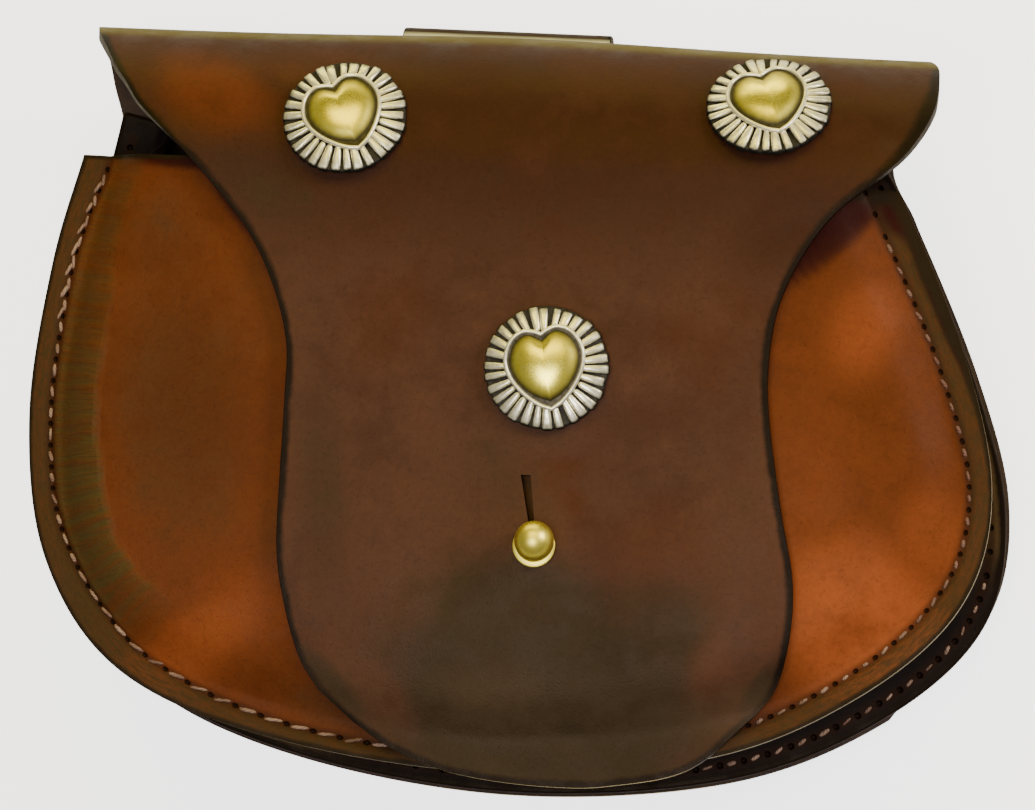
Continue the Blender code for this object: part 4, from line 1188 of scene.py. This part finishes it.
stud_x, stud_y = flap_spot(STUD)
stud_level = RIM_LEVEL + float(dome_rise(*inset_and_bearing(stud_x, stud_y))) + LEATHER["front"] / 2
print("the stud stands on the front at", round(stud_level / MM, 1), "mm")

# %% [markdown]
# ## A petal, thirty times
# The concho's rim is a ring of cast petals with dark gaps between them. One petal is a cube primitive: its
# inner end is pinched narrow in edit mode, its edges are beveled round, and its outer end is tipped down.
# Copies are turned about the middle and joined. Each is a little wider, longer or more askew than the next,
# because the pattern was carved by hand before it was cast.

# %% Model one petal
PETALS = 30
RELIEF = 4.4 * MM
PETAL_IN, PETAL_OUT, PETAL_WIDE, PETAL_THICK = 7.3 * MM, 12.55 * MM, 2.12 * MM, 1.5 * MM
PETAL_LEVEL, PETAL_PINCH, PETAL_ROUND = 1.0 * MM, 0.55, 0.52 * MM
SLOPE, SLOPE_END, TIP_FROM, TIP_DROP = 0.17, 12 * MM, 9.6 * MM, 45


def round_edges(piece, width):
    rounded = piece.modifiers.new("rounded", "BEVEL")
    rounded.width = width
    rounded.segments = 3
    apply_all(piece)


petal = fresh(bpy.ops.mesh.primitive_cube_add, size=1)
petal.scale = (PETAL_OUT - PETAL_IN, PETAL_WIDE, PETAL_THICK)
petal.location = ((PETAL_OUT + PETAL_IN) / 2, 0, PETAL_LEVEL)
bpy.ops.object.transform_apply(location=True, scale=True)
with editing():
    bpy.ops.mesh.select_all(action="DESELECT")
for face in petal.data.polygons:
    face.select = face.normal.x < -0.9
bpy.ops.object.mode_set(mode="EDIT")
bpy.ops.transform.resize(value=(1, PETAL_PINCH, 1), center_override=(PETAL_IN, 0, PETAL_LEVEL))
bpy.ops.object.mode_set(mode="OBJECT")
round_edges(petal, PETAL_ROUND)
for vert in petal.data.vertices:
    far_out = max(0, vert.co.x - TIP_FROM)
    vert.co.z += SLOPE * (SLOPE_END - vert.co.x) - TIP_DROP * far_out**2
print("a petal has", len(petal.data.polygons), "faces")

# %% Set the petals round
chance = np.random.default_rng(7)


def copy_of(piece, name, matrix):
    made = piece.copy()
    made.data = piece.data.copy()
    made.name = made.data.name = name
    bpy.context.scene.collection.objects.link(made)
    made.data.transform(matrix)
    return made


def join(parts, name):
    deselect()
    for part in parts:
        part.select_set(True)
    bpy.context.view_layer.objects.active = parts[0]
    bpy.ops.object.join()
    joined = bpy.context.object
    joined.name = joined.data.name = name
    return joined


petals = []
for i in range(PETALS):
    wide, long, askew = 1 + 0.13 * np.clip(chance.standard_normal(3), -1.6, 1.6)
    turn = Matrix.Rotation(2 * math.pi * i / PETALS + 0.15 * (askew - 1), 4, "Z")
    size = Matrix.Diagonal((1 + 0.25 * (min(long, 1.02) - 1), wide, 1, 1))
    petals.append(copy_of(petal, f"petal_{i}", turn @ size))
bpy.data.objects.remove(petal, do_unlink=True)
petal_ring = join(petals, "petal_ring")
print("the ring has", len(petal_ring.data.polygons), "faces")

# %% [markdown]
# ## The plate, the heart and its wire
# The plate under the petals is a thin cylinder with a beveled rim. The heart starts as a ball: its lower
# half is bisected away, and each of the dome's rings is then pulled out to a heart, fully at the rim and
# less towards the top, so that the notch fades out as it climbs. The wire round it is a circle primitive
# laid on the same outline, turned into a curve and given a round bevel.

# %% Model the plate and the heart
# across and up, in millimetres, down the right half of the wire's outer side
HEART = smooth_line([
    (0.0, 7.0), (1.3, 7.7), (3.7, 8.2), (6.3, 6.9), (7.9, 4.3), (8.4, 1.4), (7.5, -1.9), (5.3, -5.2),
    (2.6, -7.8), (0.0, -9.2),
]) * MM
HEART_SIZE, HEART_LOW = 0.89, 1.7 * MM
FRAME_SIZE, FRAME_LEVEL, FRAME_WIRE = 0.93, 2.45 * MM, 0.46 * MM
heart_angle = np.arctan2(HEART[:, 0], HEART[:, 1])
heart_reach = np.hypot(HEART[:, 0], HEART[:, 1])


def heart_point(turn, size):
    """A point of the heart's outline, its notch up, seen from its middle."""
    reach = np.interp(np.abs(turn), heart_angle, heart_reach) * size
    return reach * np.sin(turn), reach * np.cos(turn)


plate = fresh(bpy.ops.mesh.primitive_cylinder_add, vertices=120, radius=12.3 * MM, depth=MM, location=(0, 0, 0.5 * MM))
bpy.ops.object.transform_apply(location=True)
round_edges(plate, 0.4 * MM)

heart = fresh(bpy.ops.mesh.primitive_uv_sphere_add, segments=96, ring_count=36, radius=1)
with editing():
    bpy.ops.mesh.bisect(plane_co=(0, 0, 0), plane_no=(0, 0, 1), clear_inner=True)
ball = np.array([vert.co for vert in heart.data.vertices])
reach = np.hypot(ball[:, 0], ball[:, 1])
turn = np.arctan2(ball[:, 0], ball[:, 1])
at_notch = np.exp(-((turn / 0.22) ** 2)) * reach**2
at_tip = np.exp(-(((np.abs(turn) - math.pi) / 0.6) ** 2))
heart_x, heart_y = heart_point(turn, HEART_SIZE * reach * (1 - 0.10 * at_notch - 0.09 * at_tip))
dent = np.exp(-((heart_x / (1.5 * MM)) ** 2)) * soft_step((heart_y - 3.2 * MM) / (3.5 * MM))
heart_z = HEART_LOW + (RELIEF - HEART_LOW - 0.5 * MM * dent) * np.maximum(ball[:, 2], 0)
heart.data.vertices.foreach_set("co", np.column_stack([heart_x, heart_y, heart_z]).ravel())
print("the heart is", round(float(np.ptp(heart_x)) / MM, 1), "mm wide")

# %% Model the wire and the dark bed inside it
bed = fresh(bpy.ops.mesh.primitive_cylinder_add, vertices=96, radius=1, depth=2.2 * MM, location=(0, 0, 1.5 * MM))
bpy.ops.object.transform_apply(location=True)
for vert in bed.data.vertices:
    vert.co.xy = heart_point(math.atan2(vert.co.x, vert.co.y), FRAME_SIZE)
wire = fresh(bpy.ops.mesh.primitive_circle_add, vertices=120, radius=1)
for vert in wire.data.vertices:
    vert.co = (*heart_point(math.atan2(vert.co.x, vert.co.y), FRAME_SIZE), FRAME_LEVEL)
bpy.ops.object.convert(target="CURVE")
wire.data.bevel_depth = FRAME_WIRE
wire.data.bevel_resolution = 3
bpy.ops.object.convert(target="MESH")
wire = bpy.context.object
raised = Matrix.Translation((0, 0, FRAME_LEVEL))
wire.data.transform(raised @ Matrix.Diagonal((1, 1, 1.2, 1)) @ raised.inverted())
print("the wire has", len(wire.data.polygons), "faces")

# %% [markdown]
# ## One casting, set three times
# Plate, petals, wire, heart and bed are joined, a height is stored at every vertex for the tarnish to gather
# low down, and each copy is carried to its place on the flap. What was joined keeps its material.

# %% Set the conchos
parts = [plate, petal_ring, wire, heart, bed]
for part, finish in zip(parts, ("tarnish", "silver", "silver", "gold_wash", "tarnish")):
    part.data.materials.clear()
    part.data.materials.append(finishes[finish])
casting = join(parts, "casting")
bpy.ops.object.shade_smooth_by_angle(angle=math.radians(60))
relief = casting.data.attributes.new("relief", "FLOAT", "POINT")
relief.data.foreach_set("value", [vert.co.z / RELIEF for vert in casting.data.vertices])
for name, seat in CONCHOS.items():
    concho = copy_of(casting, f"concho_{name}_cast", flap_frame(seat))
    pieces[concho.name] = concho
bpy.data.objects.remove(casting, do_unlink=True)
print("a concho has", len(concho.data.polygons), "faces")

# %% [markdown]
# ## The ball stud
# A stud like this is turned on a lathe: a ball, a collar to hold the leather down, a neck and a foot. Spin is
# Blender's lathe. Half the outline is drawn as a chain of edges and spun round the Z axis; where the ends
# meet, doubled points are merged before the faces are turned outwards. The ball was knocked a little askew.

# %% Turn the stud
BALL, BALL_BASE, NECK, COLLAR = 3.95 * MM, 2.9 * MM, 2.2 * MM, 4.3 * MM
KNOCK = Vector((0.35, 0.75, 0)) * MM
flap_face = float(flap_level(np.array([stud_x]), np.array([stud_y]))[0]) + LEATHER["back"] / 2
collar_low = flap_face + SEAM_GAP
collar_high = collar_low + 0.9 * MM
foot_low, foot_high, end = stud_level + 0.3 * MM, stud_level + 1.1 * MM, stud_level - 2 * MM
ball_middle = collar_high + math.sqrt(BALL**2 - BALL_BASE**2)
half_line = []
for angle in np.linspace(0, math.pi - math.asin(BALL_BASE / BALL), 26):
    half_line.append((BALL * math.sin(angle), ball_middle + BALL * math.cos(angle)))
half_line += [
    (BALL_BASE, collar_high + 0.05 * MM), (COLLAR - 0.3 * MM, collar_high),
    (COLLAR - 0.08 * MM, collar_high - 0.1 * MM), (COLLAR, collar_high - 0.35 * MM),
    (COLLAR - 0.1 * MM, collar_low), (NECK, collar_low), (NECK, foot_high), (COLLAR, foot_high),
    (COLLAR, foot_low), (NECK, foot_low), (NECK, end), (0, end),
]
mesh = bpy.data.meshes.new("ball_stud_turned")
chain = [(i, i + 1) for i in range(len(half_line) - 1)]
mesh.from_pydata([(radius, 0, level) for radius, level in half_line], chain, [])
stud = bpy.data.objects.new("ball_stud_turned", mesh)
bpy.context.scene.collection.objects.link(stud)
deselect()
bpy.context.view_layer.objects.active = stud
stud.select_set(True)
with editing():
    bpy.ops.mesh.spin(steps=56, angle=2 * math.pi, center=(0, 0, 0), axis=(0, 0, 1))
    bpy.ops.mesh.select_all(action="SELECT")
    bpy.ops.mesh.remove_doubles(threshold=1e-6)
    bpy.ops.mesh.normals_make_consistent(inside=False)
for vert in mesh.vertices:
    lean = soft_step((vert.co.z - collar_high) / (ball_middle - collar_high))
    vert.co += KNOCK * lean
mesh.transform(Matrix.Translation((stud_x + BAG_PLACE[0], stud_y + BAG_PLACE[1], 0)))
mesh.materials.append(finishes["brass"])
bpy.ops.object.shade_smooth_by_angle(angle=math.radians(35))
pieces[stud.name] = stud
print("the stud has", len(mesh.polygons), "faces")

# %% [markdown]
# ## Thread
# Waxed linen thread lies in the seam as a row of plump stitches, each diving into its two holes. One
# stitch is a ball primitive drawn out along X, with blunt ends. It is copied along the seam, a little slanted
# as a saddle stitch is, and all the copies of one seam are joined.

# %% Model one stitch
THREAD = 0.75 * MM
HALF_STITCH, BLUNT, DIVE, PROUD = 0.36 * PITCH, 0.8, 0.9, 0.05 * MM
stitch = fresh(bpy.ops.mesh.primitive_uv_sphere_add, segments=10, ring_count=9, radius=1, rotation=(0, math.pi / 2, 0))
bpy.ops.object.transform_apply(rotation=True)
for vert in stitch.data.vertices:
    x, y, z = vert.co
    blunt = math.copysign(abs(x) ** BLUNT, x)
    vert.co = (blunt * HALF_STITCH, y * THREAD / 2, (z - DIVE * x**4) * THREAD / 2 + PROUD)
stitch.data.materials.append(finishes["thread"])
bpy.ops.object.shade_smooth()
print("a stitch has", len(stitch.data.polygons), "faces")


# %% Sew the seams
def sew(name, spots):
    """Stitches at spots: a point, the seam's direction and the leather's outward direction there."""
    row = []
    for i, (point, ahead, out, length, slant_of) in enumerate(spots):
        ahead, out = Vector(ahead).normalized(), Vector(out).normalized()
        side = out.cross(ahead).normalized()
        turned = Matrix((ahead, side, ahead.cross(side))).transposed().to_4x4()
        slant = Matrix.Rotation(math.radians(slant_of + 6 * chance.standard_normal()), 4, "Z")
        longer, thicker = 0.07 * chance.standard_normal(), 0.12 * chance.standard_normal()
        size = Matrix.Diagonal((length + longer, 1 + thicker, 1, 1))
        row.append(copy_of(stitch, f"{name}_{i}", Matrix.Translation(point) @ turned @ slant @ size))
    seam = join(row, name)
    pieces[seam.name] = seam
    print(name, len(spots), "stitches")


def seam_spots(piece, last, inset_of, sign, shorter, shift=0.0, slant_of=11):
    """Spots along the sewn edge up to last, on the face that a straight look down (1) or up (-1) meets."""
    spots = []
    low, high = np.interp([sew_from, last], stitch_far, stitch_count)
    for far in np.interp(np.arange(math.ceil(low), math.floor(high)) + shift, stitch_count, stitch_far):
        x, y, nx, ny, margin_here = (np.interp(far, sewn_at, column) for column in sewn_fine)
        inset = inset_of(far, margin_here)
        start = Vector((x + nx * inset + BAG_PLACE[0], y + ny * inset + BAG_PLACE[1], sign))
        met, point, out, _ = piece.ray_cast(start, Vector((0, 0, -sign)))
        length = np.interp(far, stitch_far, stitch_long) / PITCH * np.interp(far, *shorter)
        if met:
            spots.append((point, (ny, -nx, 0), out, length, slant_of))
    return spots


def front_in(far, _):
    return float(look_up(FRONT_SEAM, far))


def start_again_in(far, _):
    return front_in(far, _) - 0.5 * MM


def back_in(_, margin_here):
    return BACK_SEAM_INSET - margin_here


sew_from, sew_to = mouth_left + 2 * MM, mouth_right - 2 * MM
pulled_in = np.array([0, 100, 130, 200, 250]) * MM, [0.78, 0.78, 1.05, 1.0, 0.6]
even = [0], [1]
sew("front_seam_thread",
    seam_spots(front, sew_to, front_in, 1, pulled_in)
    + seam_spots(front, sew_from + 36 * MM, start_again_in, 1, even, 0.35, -16)
    + seam_spots(gusset, sew_to, front_in, -1, even))
stain(pieces["front_seam_thread"], "deep", [(96, -30, 22, 70, 0, 1.0)])
sew("back_seam_thread",
    seam_spots(gusset, sew_to, back_in, 1, pulled_in)
    + seam_spots(hide, sew_to, back_in, -1, even))
loop_spots = []
for level in loop_seams:
    for x in np.arange(-3, 4) * PITCH:
        low = -1 if level < -loop_top else loop_radius + loop_outer
        met, point, out, _ = loop.ray_cast(Vector((x, level, low)), Vector((0, 0, 1)))
        if met:
            loop_spots.append((point, (1, 0, 0), out, 1, 8))
sew("loop_seam_thread", loop_spots)
bpy.data.objects.remove(stitch, do_unlink=True)

# %% [markdown]
# ## Hand the pieces over
# Every piece rides on the bag's one body, and a piece that is a finer copy of a plain node stands in for it:
# that node is hidden.

# %% Ride and replace
STANDS_FOR = {
    "back_and_flap_leather": ("back_and_flap", "flap_leather"),
    "front_panel_leather": ("front_panel", "front_leather"),
    "gusset_leather_strip": ("gusset", "gusset_leather"),
    "belt_loop_leather": ("belt_loop", "loop_leather"),
    "concho_left_cast": ("concho_left", "concho_metal"),
    "concho_right_cast": ("concho_right", "concho_metal"),
    "concho_centre_cast": ("concho_centre", "concho_metal"),
    "ball_stud_turned": ("stud", "stud_brass"),
    "front_seam_thread": (None, "front_leather"),
    "back_seam_thread": (None, "gusset_leather"),
    "loop_seam_thread": (None, "loop_leather"),
}
for name, piece in pieces.items():
    node, slot = STANDS_FOR[name]
    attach(piece, "root")
    if node:
        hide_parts(node)
for name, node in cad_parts.items():
    if "screw" in name:
        node.data.materials.clear()
        node.data.materials.append(finishes["brass" if name == "stud_screw" else "silver"])
print(len(pieces), "pieces")

# %% [markdown]
# ## Floor, light and camera
# The floor is plain and pale. The key light is a soft square high on the right, so the flap throws its shadow
# to the left. A golden card beyond the fold and a white one on the near side hang over the bag for the
# polished hearts to mirror, and a low golden one behind the fold lights its crest. The camera looks almost
# straight down, a little from the right and from the near side, and is turned so that the bag leans as it
# does in the photograph.

# %% Floor and lights
floor = fresh(bpy.ops.mesh.primitive_plane_add, size=8, location=(0, 0, -0.3 * MM))
floor.name = "floor"
net, shader = new_material("paper")
net.fill(shader, {
    "Base Color": (0.86, 0.86, 0.85),
    "Roughness": 0.8,
    "Emission Color": (1, 1, 1),
    "Emission Strength": net.wire("LightPath", output="Is Camera Ray") * 2.6,
})
floor.data.materials.append(finishes["paper"])
floor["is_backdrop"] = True

AIM = Vector((0.0127, -0.0369, 0.050))


def soft_light(name, place, size, power, colour):
    light = bpy.data.lights.new(name, "AREA")
    light.shape = "RECTANGLE"
    light.size, light.size_y = size
    light.energy = power
    light.color = colour
    lamp = bpy.data.objects.new(name, light)
    lamp.location = place
    lamp.rotation_euler = (AIM - lamp.location).to_track_quat("-Z", "Y").to_euler()
    bpy.context.scene.collection.objects.link(lamp)


soft_light("key", Vector((0.70, 0.35, 0.55)), (0.35, 0.35), 6.2, (1.0, 0.93, 0.88))
soft_light("golden_sky", Vector((-0.05, 0.66, 1.15)), (0.95, 0.62), 7.6, (1.0, 0.82, 0.03))
soft_light("white_sky", Vector((-0.04, -0.34, 1.50)), (0.66, 0.60), 12.5, (1.0, 0.96, 1.0))
soft_light("golden_low", Vector((-0.20, 0.90, 0.16)), (0.9, 0.25), 3.3, (1.0, 0.86, 0.12))
world = bpy.data.worlds.new("room")
world.use_nodes = True
world.node_tree.nodes["Background"].inputs["Color"].default_value = (1.0, 0.97, 0.93, 1)
world.node_tree.nodes["Background"].inputs["Strength"].default_value = 0.195
bpy.context.scene.world = world

# %% The camera
SIDEWAYS, BELOW, LEAN, DISTANCE = math.radians(7.2), math.radians(6.0), math.radians(3.65), 1.1
# the sensor is in millimetres, the others in pixels of the picture
SENSOR, PICTURE_WIDE, FOCAL, SHIFT = 36, 1035, 5500, (-0.5, 6)
back = Vector((math.tan(SIDEWAYS), -math.tan(BELOW), 1)).normalized()
up = (Vector((0, 1, 0)) - Vector((0, 1, 0)).dot(back) * back).normalized()
right = up.cross(back)
leaning_right = right * math.cos(LEAN) + up * math.sin(LEAN)
leaning_up = up * math.cos(LEAN) - right * math.sin(LEAN)
lens = bpy.data.cameras.new("camera")
lens.sensor_width = SENSOR
lens.lens = SENSOR * FOCAL / PICTURE_WIDE
lens.shift_x, lens.shift_y = (part / PICTURE_WIDE for part in SHIFT)
lens.clip_start = 0.05
camera = bpy.data.objects.new("camera", lens)
turned = Matrix((leaning_right, leaning_up, back)).transposed().to_4x4()
turned.translation = AIM + back * DISTANCE
camera.matrix_world = turned
bpy.context.scene.collection.objects.link(camera)
bpy.context.scene.camera = camera
print("the camera stands", round(turned.translation.z, 3), "m up")

# %% [markdown]
# ## Measure and finish
# The dressed bag must keep the plain model's size. Both boxes are measured and printed.

# %% Print both boxes
dressed_box = [list(corner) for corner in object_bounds()]
for name, box in (("plain", cad_box), ("dressed", dressed_box)):
    print(name, [round((high - low) / MM, 1) for low, high in zip(*box)], "mm")
